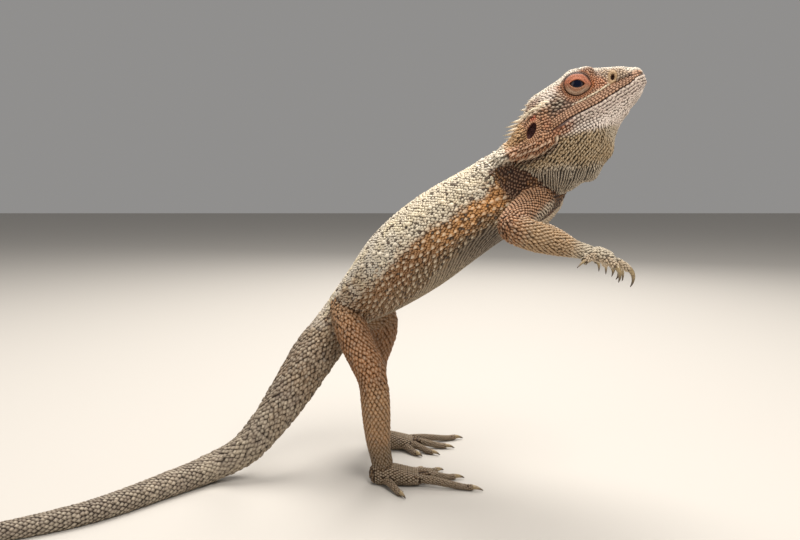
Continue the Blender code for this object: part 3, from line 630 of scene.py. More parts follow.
def paint_trunk(lay, row, angle, cloud, fleck):
    """Cream back with specks, brown and rust flanks, dark brown painted shade in the neck's recess,
    grey-brown belly and tail, the belly with painted shade towards its front.
    """
    edge = rolled(row, angle) + 0.05 * cloud + 0.035 * fleck
    raw = np.abs(angle) / pi
    back = (1 - fade(0.36, 0.46, edge)) * (row < 9.5)
    lay(BACK_YELLOW, back * 0.5 * fade(0.0, 0.4, cloud - 0.4 * fleck))
    lay(BACK_BLUE, back * 0.4 * fade(0.0, 0.4, -cloud - 0.4 * fleck))
    lay(SPECK_GREY, 0.5 * fade(0.42, 0.54, fleck) * (1 - fade(0.36, 0.46, edge)))
    lay(BONE, back * 0.75 * bump(4.2, 2.2, row))
    flank = fade(0.37, 0.47, edge) * (row < 9.5)
    lay(FLANK_BROWN, flank)
    lay(FLANK_OLIVE, flank * fade(0.56, 0.64, edge))
    blotch = fade(0.20, 0.38, fleck + 0.3 * cloud) * bump(0.37, 0.10, edge)
    lay(FLANK_BROWN, (0.75 - 0.5 * bump(4.4, 1.4, row)) * blotch * (row < 9))
    rust = bump(0.51, 0.11, edge + 0.03 * fleck) * fade(5.6, 4.2, row) * fade(2.7, 3.2, row)
    rust = rust * (0.7 + 0.6 * bump(3.7, 1.6, row) + 0.9 * cloud)
    lay(FLANK_RUST, rust)
    low = belly_edge(row)
    belly = fade(low - 0.03, low + 0.03, edge) * (row < 12)
    lay(BELLY, belly)
    # painted shade: the belly darkens towards its front
    lay(BELLY_PAINTED_SHADE, belly * fade(6.0, 4.0, row))
    ragged = raw + 0.10 * cloud + 0.10 * fleck
    # painted shade over the neck's recess, with mottled brown spots laid on it
    neck = fade(3.3, 2.4, row + 0.6 * cloud + 0.5 * fleck) * fade(0.38, 0.60, ragged)
    lay(NECK_PAINTED_SHADE, neck)
    lay(FLANK_BROWN, neck * 0.8 * fade(0.10, 0.34, cloud + 0.5 * fleck))
    hip = fade(5.6, 7.4, row + 0.5 * cloud) * fade(0.12, 0.30, edge + 0.1 * fleck) * (edge < low)
    lay(HIP, hip * (0.85 + 0.4 * fleck))
    lay(TAIL_BASE, fade(7.6, 9.8, row + 0.6 * cloud + 0.4 * fleck))
    lay(TAIL_MID, fade(10.5, 12.5, row + cloud))
    lay(TAIL_END, fade(14, 17, row))
    lay(BELLY, 0.5 * fade(9.5, 10.5, row) * fade(0.62, 0.8, raw))
    band = 0.5 + 0.5 * np.sin(row * 5.2 + cloud)
    lay(SPECK_GREY, 0.6 * band * fade(9, 11, row) * (1 - fade(0.5, 0.7, raw)))
    lay(SPECK_GREY, 0.7 * fade(0.26, 0.40, fleck) * fade(8.5, 10, row))
    lay(SPECK_DARK, 0.45 * fade(0.34, 0.10, raw + 0.1 * cloud) * fade(8.5, 10.5, row))


def paint_limbs(on_leg, on_arm, names, row, angle, cloud, fleck):
    """Red-brown thighs and upper arms paling to the hands and darkening to the feet, the feet's dark brown
    partly painted shadow.
    """
    around = np.abs(angle) / pi
    limb = (names == "leg") | (names == "arm")
    on_leg(THIGH)
    on_leg(HIP, limb * fade(1.6, 0.5, row))
    on_leg(SHANK, np.where(limb, fade(3.6, 5.0, row + 0.6 * cloud), 1))
    # the feet and toes in their dark brown, partly painted shadow
    on_leg(FOOT_AND_PAINTED_SHADOW, np.where(limb, fade(6.6, 8.2, row), 1))
    on_leg(BELLY, (names == "sole") * 0.5 * fade(0.7, 0.85, around))
    on_arm(UPPER_ARM)
    on_arm(CHEST_GREY, limb * 0.9 * fade(3.4, 2.2, row) * fade(0.42, 0.56, around + 0.05 * cloud))
    on_arm(FOREARM, np.where(limb, fade(3.8, 5.4, row + 0.5 * cloud), 1))
    on_arm(HAND, np.where(limb, fade(7.0, 8.6, row), 1))
    on_arm(FOREARM, ~limb * 0.45 * fade(0.5, 0.7, around))
    for lay in (on_leg, on_arm):
        lay(SPECK_GREY, 0.35 * fade(0.34, 0.5, fleck))


def paint_head(lay, local, around, cloud, fleck):
    """Orange-brown face, pale crown and lips, cream ridges, yellow beard and grey throat, with painted shade
    under the brow, the temple's ridge and the jaw's fold, in the lids' creases, the mouth line and the
    snout's edge, and in the ears and nostrils.
    """
    x, y, z = local.T
    eye, mouth, nostril, ear, _, high = face_features(local)
    lay(TEMPLE)
    lay(FACE_ORANGE, 1 - fade(1.25, 1.9, eye + 0.2 * cloud))
    lay(FACE_ORANGE, 0.8 * head_spot(x, z, (15.0, 11.5), (5.0, 3.0), 40))
    lay(CHEEK_RUST, 0.6 * fade(1.7, 1.3, eye) * fade(1.5, 3.6, high))
    lay(SNOUT_OLIVE, fade(30.5, 33.0, x + 0.6 * cloud) * (mouth > 0))
    lay(SNOUT, fade(36.5, 40.0, x) * (mouth > 0))
    lay(FACE_RUST, head_spot(x, z, (29.6, 6.2), (4.6, 3.4), -30))
    lay(UPPER_LIP, (mouth > 0) * fade(0.1, -0.3, mouth - canthus_lift(x)) * (x > 7))
    lay(CHEEK, fade(15, 8, x + 2 * cloud) * fade(6.5, 3.5, z))
    lay(CHEEK_RUST, 0.7 * fade(0.0, 0.4, mottle(local, 3.2, 7.0)) * fade(16, 9, x) * fade(4.5, 1.0, z))
    lay(CHEEK_YELLOW, 0.8 * fade(0.5, -2.5, x) * fade(-4.5, -1.5, z + 0.8 * cloud))
    # painted shade under the temple's ridge
    lay(TEMPLE_PAINTED_SHADE, 0.85 * head_spot(x, z, (13.0, 3.8), (5.2, 2.6), 25))
    lay(TEMPLE_WHITE, head_spot(x, z, (11.4, 8.8), (5.6, 2.9), 28))
    lay(RIDGE_CREAM, 0.9 * head_spot(x, z, (5.0, 6.2), (7.0, 1.5), 6))
    lay(RIDGE_CREAM, 0.5 * fade(3.5, -1.0, x) * fade(3.0, 5.5, z))
    rim = np.interp(x, *CROWN_EDGE) - 0.02 * cloud
    lay(CROWN, fade(rim + 0.03, rim - 0.04, around))
    lay(CROWN, fade(12.3, 13.5, z + 0.4 * cloud) * (x > 12))
    lay(EAR_RUST, head_spot(x, z, (3.6, 3.3), (2.0, 1.3), 30))
    below = (mouth < 0) * np.where(x > 7, 1, fade(-8.4, -10.0, z))
    lay(CHIN, below)
    lay(LOWER_LIP, (x > 7) * (mouth < 0) * fade(-4.8, -3.6, mouth))
    corner = fade(18, 12, x) * fade(-7.5, -5.5, z)
    lay(CHEEK_RUST, (x > 7) * (mouth < 0) * corner)
    lay(LIP_RUST, 0.8 * (mouth < 0) * head_spot(x, z, (14.6, -4.3), (3.6, 1.4), 22))
    pouch = fade(-7.2, -9.6, z - 0.20 * (20 - x)) * fade(34, 27, x)
    pouch = pouch * np.where(x < 8, fade(-8.6, -9.8, z), 1)
    lay(BEARD_YELLOW, pouch)
    lay(BEARD_PALE, pouch * fade(24.0, 28.5, x + 0.25 * (z + 14)))
    lay(BEARD_GREY, pouch * fade(-14.0, -18.5, z + 0.35 * (x - 5) + 1.5 * cloud))
    over = z - fold_height(x)
    lay(FOLD, fade(9.5, 7.5, x) * fade(-1.2, -0.4, over) * fade(4.4, 2.6, over))
    # painted shadow in the groove under the jaw's fold
    lay(FOLD_PAINTED_SHADOW, fade(9.5, 7.0, x) * bell(over, -1.3, 0.9))
    nape = fade(-9.0, -11.5, x)
    lay(CREAM, nape)
    lay(SPECK_GREY, nape * 0.8 * fade(0.30, 0.42, fleck))
    # painted shade low on the nape, under the back of the head
    lay(NECK_PAINTED_SHADE, nape * fade(-6.0, -8.5, z))
    lid = 1 - fade(0.96, 1.04, eye)
    lay(LID_LOW, lid)
    lay(LID_PALE, lid * fade(0.60, 0.78, eye) * fade(-0.8, -2.4, high))
    lay(LID_TOP, lid * fade(-1.2, 0.6, high))
    # painted shade: the brow's shadow over the top of the lids and of their crease, dark lines in the lids'
    # folds, and the crease all round
    lay(PAINTED_CREASE_SHADE, lid * 0.65 * fade(0.80, 1.0, eye) * fade(0.6, 2.4, high))
    lay(PAINTED_CREASE_SHADE, 0.85 * bump(1.08, 0.22, eye) * fade(0.3, 2.2, high))
    lines = 0.30 * bell(eye, 0.66, 0.035) + 0.25 * bell(eye, 0.84, 0.03)
    lay(PAINTED_CREASE_SHADE, lines + bell(eye, 1.0, 0.04))
    bare_lip = corner_share(x) * bell(mouth, -0.45, 0.62)
    lay(MOUTH_GREY, fade(0.2, 0.6, bare_lip) * fade(7, 8, x))
    # painted shade in the slit of the mouth
    lay(PAINTED_CREASE_SHADE, 0.8 * bell(mouth, 0, 0.2) * fade(7, 9, x))
    canthus = mouth - canthus_lift(x)
    lay(RIDGE_CREAM, 0.8 * bell(canthus, 0, 0.4) * fade(19, 22, x) * fade(35, 32, x))
    # painted shade in the crease under the snout's pale edge
    lay(PAINTED_CREASE_SHADE, 0.7 * bell(canthus, 0, 0.24) * fade(33, 35, x) * fade(43, 41, x))
    # painted shade in the sunken ear opening
    lay(EAR_PAINTED_SHADE, 1 - fade(0.92, 1.05, ear))
    lay(NOSTRIL_PLATE, (1 - fade(2.1, 2.5, nostril)) * (np.abs(y) > 3) * (canthus > -0.1))
    # painted shade in the sunken nostril opening
    lay(NOSTRIL_SHADE_AND_SPOT, (1 - fade(0.75, 1.05, nostril)) * (np.abs(y) > 3))
    # a dark spot in front of the nostril, a marking on one side only
    lay(NOSTRIL_SHADE_AND_SPOT, 0.8 * head_spot(x, z, (41.4, 4.5), (1.3, 1.0), 20) * (y < 0))


# ---------------------------------------------------------------- the skin
def loft(path):
    """A closed tube through the path's sections, rounded off at the heel and the heel of the hand."""
    shape = bmesh.new()
    before = None
    angles = np.linspace(0, 2 * pi, RING, endpoint=False)
    size = np.ones(len(path.centre))
    if path.name.startswith(("sole", "palm")):
        size = np.sqrt(np.clip(1 - (1 - (path.along + 0.4) / HEEL_LENGTH).clip(0, 1) ** 2, 0, 1))
    for k in range(len(path.centre)):
        verts, ring = new_ring(shape, RING)
        verts.sort(key=lambda vert: np.arctan2(vert.co.y, vert.co.x))
        across, high = outline(angles, path.half[k], path.rise[k], path.drop[k], path.exponent)
        places = path.centre[k] + size[k] * (np.outer(across, path.lateral[k]) + np.outer(high, path.up[k]))
        for vert, place in zip(verts, places):
            vert.co = place
        if before:
            bmesh.ops.bridge_loops(shape, edges=before + ring)
        before = ring
    close(shape)
    return shape


def swellings():
    """The brow, orbit, cheek, jaw angle and snout swellings of both sides."""
    shape = bmesh.new()
    for (along, side, high), radii in HEAD_SWELLINGS:
        for hand in (1, -1):
            verts = bmesh.ops.create_uvsphere(shape, u_segments=24, v_segments=14, radius=1)["verts"]
            place = Matrix.Translation(from_head((along, side * hand, high)))
            turn = Matrix(HEAD.tolist()).to_4x4()
            bmesh.ops.transform(shape, matrix=place @ turn @ Matrix.Diagonal((*radii, 1)), verts=verts)
    return shape


def plain_object(name, mesh):
    item = bpy.data.objects.new(name, mesh)
    bpy.context.scene.collection.objects.link(item)
    return item


def applied(item):
    """The item's mesh with its modifiers worked in."""
    bpy.context.view_layer.update()
    graph = bpy.context.evaluated_depsgraph_get()
    mesh = bpy.data.meshes.new_from_object(item.evaluated_get(graph))
    item.modifiers.clear()
    return mesh


def body_blank():
    """All the masses run together into one closed mesh."""
    whole = bmesh.new()
    for shape in [loft(path) for path in PATHS] + [swellings()]:
        part = mesh_from(shape, "mass")
        whole.from_mesh(part)
        bpy.data.meshes.remove(part)
    item = plain_object("skin", mesh_from(whole, "skin"))
    fuse = item.modifiers.new("fuse", "REMESH")
    fuse.mode = "VOXEL"
    fuse.voxel_size = SKIN_GRID
    soften = item.modifiers.new("soften", "SMOOTH")
    soften.factor = 0.5
    soften.iterations = 3
    item.data = applied(item)
    return item


def gathered(items, key, size, kind=np.float32):
    """What the items keep under this key, as rows of this many numbers."""
    made = np.empty(len(items) * size, kind)
    items.foreach_get(key, made)
    return made.reshape(-1, size)


def corners(mesh):
    return gathered(mesh.vertices, "co", 3).astype(float)


def normals_of(mesh):
    return gathered(mesh.vertex_normals, "vector", 3).astype(float)


def edges_of(mesh):
    return gathered(mesh.edges, "vertices", 2, np.int32)


def set_corners(mesh, points):
    mesh.vertices.foreach_set("co", np.asarray(points, np.float32).ravel())
    mesh.update()


def store(mesh, name, values):
    """Keeps a number for each vertex under this name, for the materials."""
    layer = mesh.attributes.new(name, "FLOAT", "POINT")
    layer.data.foreach_set("value", np.asarray(values, np.float32))


def mesh_from(shape, name):
    mesh = bpy.data.meshes.new(name)
    shape.to_mesh(mesh)
    shape.free()
    return mesh


def new_ring(shape, count):
    """The vertices and edges of a new circle."""
    verts = bmesh.ops.create_circle(shape, segments=count, radius=1)["verts"]
    return verts, list({edge for vert in verts for edge in vert.link_edges})


def close(shape):
    """Closes a shape's open ends and turns its faces outward."""
    bmesh.ops.holes_fill(shape, edges=[edge for edge in shape.edges if edge.is_boundary], sides=0)
    bmesh.ops.recalc_face_normals(shape, faces=shape.faces)


def relax(values, edges, rounds, share=0.5, where=None):
    """The values of the vertices drawn towards the mean of their neighbours' values."""
    values = np.array(values, float)
    flat = values.ndim == 1
    values = values.reshape(len(values), -1)
    count = np.bincount(edges.ravel(), minlength=len(values))[:, None]
    share = share if where is None else share * where[:, None]
    for _ in range(rounds):
        total = np.zeros_like(values)
        for k in range(values.shape[1]):
            for near, far in ((0, 1), (1, 0)):
                total[:, k] += np.bincount(edges[:, near], values[edges[:, far], k], len(values))
        values += (total / np.maximum(count, 1) - values) * share
    return values[:, 0] if flat else values


def face_features(local):
    """Shares of the way out to the eye's crease, nostril's rim and ear's rim, and height over the mouth."""
    x, y, z = local.T
    side = np.abs(y)
    along, high = turned(x - EYE[0], z - EYE[2], -LID_TILT)
    oval = np.hypot(along / LID_CREASE[0], high / LID_CREASE[1])
    eye = np.where(side > 2, oval / crease_out(np.arctan2(high, along)), AWAY)
    mouth = np.where((x > 7.0) & (x < 48), z - mouth_height(x), AWAY)
    across, tall = turned(x - NOSTRIL[0], z - NOSTRIL[1], NOSTRIL_TILT)
    nostril = np.where(side > 2, np.hypot(across / NOSTRIL_SIZE[0], tall / NOSTRIL_SIZE[1]), AWAY)
    across, tall = turned(x - EAR[0], z - EAR[1], EAR_TILT)
    ear = np.where(side > 8, np.hypot(across / EAR_SIZE[0], tall / EAR_SIZE[1]), AWAY)
    return eye, mouth, nostril, ear, along, high


def refine(mesh, wanted):
    """Splits the edges whose two ends are both wanted."""
    shape = bmesh.new()
    shape.from_mesh(mesh)
    edges = edges_of(mesh)
    chosen = wanted[edges[:, 0]] & wanted[edges[:, 1]]
    shape.edges.ensure_lookup_table()
    split = [shape.edges[k] for k in np.flatnonzero(chosen)]
    bmesh.ops.subdivide_edges(shape, edges=split, cuts=1, use_grid_fill=True)
    shape.to_mesh(mesh)
    shape.free()


def in_head(points):
    return np.isin(locate(points)[0], HEAD_PATHS)


def near_features(points):
    """Round the eyes, ears and nostrils, and along the mouth and the snout's edge."""
    local = to_head(points)
    x = local[:, 0]
    eye, mouth, nostril, ear, _, _ = face_features(local)
    on_head = (x > -4) & (np.abs(local[:, 2]) < 20)
    near = (eye < 1.45) | (np.abs(mouth) < 1.2) | (nostril < 3.0) | (ear < 1.6)
    edge = (np.abs(mouth - canthus_lift(x)) < 1.0) & (x > 19) & (x < 43)
    return on_head & (near | edge)


def refined_skin(item):
    """Finer skin on the head, and finer again at the eyes, mouth, nostrils and ears."""
    for region in (in_head, near_features):
        refine(item.data, region(corners(item.data)))
        points = corners(item.data)
        edges = edges_of(item.data)
        fine = region(points).astype(float)
        if region is in_head:
            fine = relax(fine, edges, 2)
        set_corners(item.data, relax(points, edges, 2, 0.5, fine))


def inset_by_coat(item):
    """Draws the skin in by the depth of the scales and spines that will lie on it."""
    points = corners(item.data)
    normals = normals_of(item.data)
    which, row, _, _ = locate(points)
    depth = np.array([COAT_DEPTH[PATHS[k].kind] for k in which])
    thinner = 1 - 0.55 * fade(12, 20, row)
    depth = np.where((which == NUMBER["spine"]) & (row > 12), depth * thinner, depth)
    x, _, z = to_head(points).T
    faces_back = (normals @ HEAD) @ unit(np.array((-0.55, 0, 0.85)))
    nape = fade(5.5, -1.5, x) * fade(-15, -8, x) * fade(-7, -2, z) * (points[:, 2] > 140)
    depth += SPINE_DEPTH * nape * fade(0.15, 0.75, faces_back)
    depth = relax(depth, edges_of(item.data), 12)
    set_corners(item.data, points - normals * depth[:, None])


def sculpt_lids(local, eye, along, high):
    """Domes the lids over the eyeball and opens the slit between them."""
    radial, angle = np.hypot(along, high), np.arctan2(high, along)
    # the slit's edge along each direction, by bisection on its almond outline
    low, far = np.zeros(len(local)), np.full(len(local), EYE_SLIT[0])
    for _ in range(18):
        middle = (low + far) / 2
        a, h = middle * np.cos(angle), middle * np.sin(angle)
        top = np.where(h > 0, EYE_SLIT[1], EYE_SLIT[1] * 0.92)
        inside = np.abs(h) < top * np.maximum(1 - (np.abs(a) / EYE_SLIT[0]) ** 2.2, 0)
        low, far = np.where(inside, middle, low), np.where(inside, far, middle)
    edge = radial / np.maximum(low, 0.05)
    dome = 1 - (along / LID_DOME[0]) ** 2 - (high / LID_DOME[1]) ** 2
    lid = EYE[1] + LID_DOME[2] * np.sqrt(np.maximum(dome, 0.02))
    rim = 0.2 * bell(radial - low, 0.35, 0.35)
    fold = 0.09 * np.sin(eye * 26) * fade(0.62, 0.75, eye)
    groove = 0.48 * bell(eye, 1.0, 0.06)
    on_lid = 1 - fade(0.97, 1.07, eye)
    surface = np.abs(local[:, 1]) * (1 - on_lid) + (lid + rim + fold) * on_lid - groove
    ball = EYE[1] + np.sqrt(np.maximum((EYE_RADIUS + LID_COVER) ** 2 - radial**2, 0))
    surface = np.where(radial < EYE_RADIUS + LID_COVER, np.maximum(surface, ball), surface)
    wall = fade(0.66, 1.0, edge)
    inner = EYE[1] + 2.6
    in_slit = (edge < 1.0) & (eye < 1)
    surface = np.where(in_slit, inner + (lid + rim - inner) * wall, surface)
    stretch = np.where(in_slit & (edge > 0.66), 1 / np.maximum(edge, 0.05), 1.0)
    x, z = turned(along * stretch, high * stretch, LID_TILT, EYE[::2])
    made = np.stack([x, surface * np.sign(local[:, 1]), z], axis=1)
    return np.where((eye < 1.35)[:, None], made, local)


def sculpt_head(item):
    """Lids, mouth line, jaw fold, nostrils and ears."""
    points = corners(item.data)
    local = to_head(points)
    outward = normals_of(item.data) @ HEAD
    eye, mouth, nostril, ear, along, high = face_features(local)
    x, y, z = local.T
    whole = in_head(points) & (np.abs(z) < 20)
    on_head = (x > -6) & whole
    eye = np.where(on_head & (np.abs(y) > 5), eye, AWAY)
    nostril = np.where(np.abs(y) > 3, nostril, AWAY)
    push = 0.5 * bell(mouth, 0, 0.26 + 0.26 * fade(20, 11, x)) * fade(7, 10, x)
    push += 0.30 * bell(mouth, -0.5, 0.45) * corner_share(x)
    edge = (mouth - canthus_lift(x)) * (np.abs(y) > 3)
    snout = fade(19, 22, x) * fade(43, 40, x)
    push += snout * (0.28 * bell(edge, -0.45, 0.3) - 0.22 * bell(edge, 0.1, 0.4))
    push += 1.2 * (1 - fade(0.5, 1.0, nostril)) - 0.30 * bell(nostril, 1.5, 0.5)
    push += 1.6 * (1 - fade(0.75, 1.0, ear)) - 0.3 * bell(ear, 1.15, 0.12)
    push = np.where(on_head, push, 0)
    over = z - fold_height(x)
    fold = 1.5 * bell(over, -1.0, 0.8) - 0.15 * bell(over, 0.8, 0.9)
    push += np.where(whole, fold, 0) * fade(9.5, 6.0, x) * fade(-13, -9, x)
    moved = sculpt_lids(local - outward * push[:, None], eye, along, high)
    set_corners(item.data, from_head(moved))


def skin_piece():
    item = body_blank()
    refined_skin(item)
    inset_by_coat(item)
    sculpt_head(item)
    shape = bmesh.new()
    shape.from_mesh(item.data)
    bmesh.ops.triangulate(shape, faces=shape.faces)
    bmesh.ops.recalc_face_normals(shape, faces=shape.faces)
    shape.to_mesh(item.data)
    shape.free()
    points = corners(item.data)
    points[:, 2] = np.maximum(points[:, 2], FLOOR + 0.02)
    set_corners(item.data, points)
    item.data.shade_smooth()
    return item


def thin_out(item, limit, keep):
    """Merges the skin's triangles down to a limit, where keep is False first."""
    group = item.vertex_groups.new(name="plain")
    group.add(np.flatnonzero(~keep).tolist(), 1.0, "REPLACE")
    thinner = item.modifiers.new("thin", "DECIMATE")
    thinner.ratio = limit / len(item.data.polygons)
    thinner.vertex_group = group.name
    thinner.vertex_group_factor = 2.0
    item.data = applied(item)
    item.vertex_groups.clear()


# ---------------------------------------------------------------- markings, the same on skin and scales
def marking(points, which, row, angle):
    """The animal's colour at points on its surface, as linear light."""
    cloud = mottle(points, 6.0)
    fleck = mottle(points, 1.5, 3.0)
    kinds, groups = (np.array([getattr(path, key) for path in PATHS])[which] for key in ("kind", "group"))
    names = np.array([path.name.split("_")[0] for path in PATHS])[which]
    paint = Paint(len(points), CREAM)
    paint_trunk(paint.on(kinds == "body"), row, angle, cloud, fleck)
    on_leg, on_arm = (paint.on(np.char.startswith(groups, limb)) for limb in ("leg", "arm"))
    paint_limbs(on_leg, on_arm, names, row, angle, cloud, fleck)
    around = np.where(names == "skull", np.abs(angle) / pi, 1)
    paint_head(paint.on(kinds == "head"), to_head(points), around, cloud, fleck)
    return np.clip(paint.colour * (1 + 0.10 * cloud[:, None]), 0, 1)


# ---------------------------------------------------------------- the shapes of the scales
def scale_blank():
    """A round scale of unit width: a rim sunk in the skin, an upper ring and a crest."""
    shape = bmesh.new()
    bmesh.ops.create_circle(shape, segments=8, radius=0.5, cap_ends=True)
    face = shape.faces[:][0]
    if face.normal.z < 0:
        face.normal_flip()
    top = bmesh.ops.extrude_face_region(shape, geom=[face])["geom"]
    ring = [item for item in top if isinstance(item, bmesh.types.BMVert)]
    bmesh.ops.scale(shape, vec=(0.62, 0.62, 1), verts=ring)
    bmesh.ops.translate(shape, vec=(0, 0, 0.3), verts=ring)
    cap = [item for item in top if isinstance(item, bmesh.types.BMFace)]
    bmesh.ops.poke(shape, faces=cap)
    bmesh.ops.recalc_face_normals(shape, faces=shape.faces)
    return shape


def steady_faces(shape):
    """The corners of each face, in an order that is the same in every run."""
    shape.verts.index_update()
    rings = [[vert.index for vert in face.verts] for face in shape.faces]
    starts = [ring.index(min(ring)) for ring in rings]
    return sorted(ring[first:] + ring[:first] for ring, first in zip(rings, starts))


class ScaleShape:
    """A template: rim, ring and crest as (across, along, high) rules on the blank."""

    def __init__(self, rim, ring, crest):
        shape = scale_blank()
        places = []
        for vert in shape.verts:
            radius = vert.co.xy.length
            turn = round(np.arctan2(vert.co.x, vert.co.y) / (pi / 4)) % 8  # 0 is the tip, 4 the root
            on_rim = radius > 0.4
            across, along, high = (rim if on_rim else ring)[min(turn, 8 - turn)]
            place = (across if turn < 4 else -across, along, high, 0.0 if on_rim else 0.62)
            places.append(place if radius > 0.05 else (0.0, *crest, 1.0))
        bmesh.ops.triangulate(shape, faces=shape.faces)
        self.points, self.relief = np.array(places)[:, :3], np.array(places)[:, 3]
        self.faces = np.array(steady_faces(shape))
        shape.free()


# rim and ring: across, along and high at the tip, its shoulder, the side, its shoulder and the root
SHAPES = {
    "keeled": ScaleShape(
        ((0, 0.56, 0.26), (0.28, 0.30, 0.10), (0.50, -0.02, -0.04), (0.36, -0.30, -0.14), (0, -0.44, -0.18)),
        ((0, 0.46, 0.36), (0.17, 0.22, 0.26), (0.30, 0.00, 0.16), (0.20, -0.20, 0.08), (0, -0.32, 0.08)),
        (0.06, 0.38),
    ),
    "granule": ScaleShape(
        ((0, 0.48, -0.10), (0.35, 0.34, -0.10), (0.50, 0, -0.10), (0.35, -0.34, -0.10), (0, -0.48, -0.10)),
        ((0, 0.32, 0.20), (0.23, 0.22, 0.19), (0.33, 0, 0.18), (0.23, -0.22, 0.17), (0, -0.32, 0.16)),
        (0.0, 0.28),
    ),
    "tubercle": ScaleShape(
        ((0, 0.50, 0.10), (0.33, 0.30, -0.06), (0.50, 0, -0.12), (0.35, -0.34, -0.14), (0, -0.50, -0.14)),
        ((0, 0.44, 0.42), (0.18, 0.22, 0.32), (0.28, 0, 0.24), (0.20, -0.20, 0.16), (0, -0.30, 0.14)),
        (0.20, 0.56),
    ),
    "plate": ScaleShape(
        ((0, 0.50, -0.06), (0.42, 0.42, -0.08), (0.50, 0, -0.08), (0.42, -0.42, -0.08), (0, -0.50, -0.08)),
        ((0, 0.41, 0.17), (0.33, 0.33, 0.15), (0.41, 0, 0.15), (0.33, -0.33, 0.13), (0, -0.41, 0.13)),
        (0.0, 0.21),
    ),
    "beard": ScaleShape(
        ((0, 0.58, 0.34), (0.34, 0.33, 0.12), (0.48, -0.04, -0.04), (0.40, -0.32, -0.14), (0, -0.42, -0.18)),
        ((0, 0.51, 0.46), (0.21, 0.27, 0.35), (0.30, -0.02, 0.24), (0.25, -0.22, 0.10), (0, -0.30, 0.08)),
        (0.08, 0.48),
    ),
    "ridge": ScaleShape(
        ((0, 0.60, 0.42), (0.20, 0.26, 0.10), (0.46, -0.08, -0.06), (0.38, -0.32, -0.14), (0, -0.42, -0.16)),
        ((0, 0.50, 0.46), (0.14, 0.22, 0.38), (0.28, -0.02, 0.30), (0.24, -0.20, 0.20), (0, -0.28, 0.16)),
        (0.12, 0.50),
    ),
    "spine": ScaleShape(
        ((0, -0.10, -0.50), (0.35, -0.10, -0.35), (0.50, -0.10, 0.0), (0.35, -0.10, 0.35), (0, -0.10, 0.50)),
        ((0, 0.36, -0.30), (0.21, 0.36, -0.21), (0.30, 0.36, 0.0), (0.21, 0.36, 0.21), (0, 0.36, 0.30)),
        (1.0, 0.0),
    ),
    "rhomb": ScaleShape(
        ((0, 0.54, 0.10), (0.27, 0.30, 0.02), (0.50, 0.00, -0.05), (0.31, -0.28, -0.10), (0, -0.46, -0.14)),
        ((0, 0.46, 0.24), (0.23, 0.26, 0.20), (0.41, 0.00, 0.13), (0.25, -0.22, 0.08), (0, -0.36, 0.04)),
        (0.12, 0.30),
    ),
}
KINDS = list(SHAPES)


# ---------------------------------------------------------------- where the scales grow
class Ground:
    """The skin as something to grow scales on."""

    def __init__(self, item):
        mesh = item.data
        self.points = corners(mesh)
        self.normals = normals_of(mesh)
        self.which, self.row, self.angle, self.along = locate(self.points)
        self.faces = gathered(mesh.polygons, "vertices", 3, np.int32)
        self.tree = BVHTree.FromPolygons(self.points.tolist(), self.faces.tolist())
        first, second, third = self.points[self.faces.T]
        area = np.linalg.norm(np.cross(second - first, third - first), axis=1) / 6
        self.area = np.bincount(self.faces.ravel(), np.repeat(area, 3), len(self.points))

    def cast(self, start, way):
        """Place, normal and number of the path that is hit, or all None."""
        place, _, face, _ = self.tree.ray_cast(Vector(start), Vector(way))
        if face is None:
            return None, None, None
        ring = self.faces[face]
        return np.array(place), unit(self.normals[ring].mean(0)), self.which[ring[0]]

    def cast_in(self, along, high, hand):
        """The skin met on the way in from one side at a place in the head's side view."""
        return self.cast(from_head((along, hand * 30, high)), -hand * HEAD[:, 1])


class Crowd:
    """Places on a coarse map of cubes, to ask whether a spot is still free."""

    CELL = 1.4

    def __init__(self):
        self.cells = {}

    def cell(self, place):
        return tuple(int(v // self.CELL) for v in place)

    def put(self, place):
        self.cells.setdefault(self.cell(place), []).append(tuple(float(v) for v in place))

    def free(self, place, reach):
        """Whether this is a place with nothing within reach of it."""
        if place is None:
            return False
        x, y, z = (float(v) for v in place)
        i, j, k = self.cell((x, y, z))
        span = int(reach // self.CELL) + 1
        near = range(-span, span + 1)
        for a in near:
            for b in near:
                for c in near:
                    for p, q, r in self.cells.get((i + a, j + b, k + c), ()):
                        if (p - x) ** 2 + (q - y) ** 2 + (r - z) ** 2 < reach * reach:
                            return False
        return True


class Scales(Crowd):
    """The scales placed so far. pale is how cream the crest is, gap how light the edge stays under its
    painted shade.
    """

    KEYS = ("place", "normal", "lie", "width", "length", "height", "kind", "pale", "gap")

    def __init__(self):
        super().__init__()
        self.made = []

    def add(self, place, normal, lie, width, length, height, kind, pale, gap):
        self.put(place)
        self.made.append((place, normal, lie, width, length, height, KINDS.index(kind), pale, gap))

    def table(self):
        return {key: np.array(column) for key, column in zip(self.KEYS, zip(*self.made))}


def head_lie(local):
    """The way head scales point: back over the crown and cheeks, down and back on the beard."""
    x, y, z = local.T
    low = fade(-4.0, -9.0, z - 0.15 * (20 - x)) * fade(40, 32, x)
    steep = np.maximum(fade(20, 27, x + 0.3 * (z + 12)), fade(-15, -20, z + 0.3 * (x - 5)))
    down = 0.12 + low * (0.45 + 1.1 * steep)
    way = np.stack([-1 + 0.3 * low * steep, 0.12 * np.sign(y) * (1 - low), -down], axis=1)
    return unit(way) @ HEAD.T


def head_grain(local):
    """Width of the scales at places on the head."""
    x, _, z = local.T
    eye, mouth, _, ear, _, _ = face_features(local)
    grain = 1.08 + 0.22 * head_spot(x, z, (12, 5), (8, 5)) + 0.25 * fade(5, -4, x) * fade(0, 3, z)
    grain = np.where(x > 27, 1.0, grain)
    grain = np.where(np.minimum(eye, ear) < 1.7, 0.85, grain)
    grain = np.where((mouth < 0) & (x > 20), 0.92, grain)
    return np.where(x < -9, 1.35, grain)


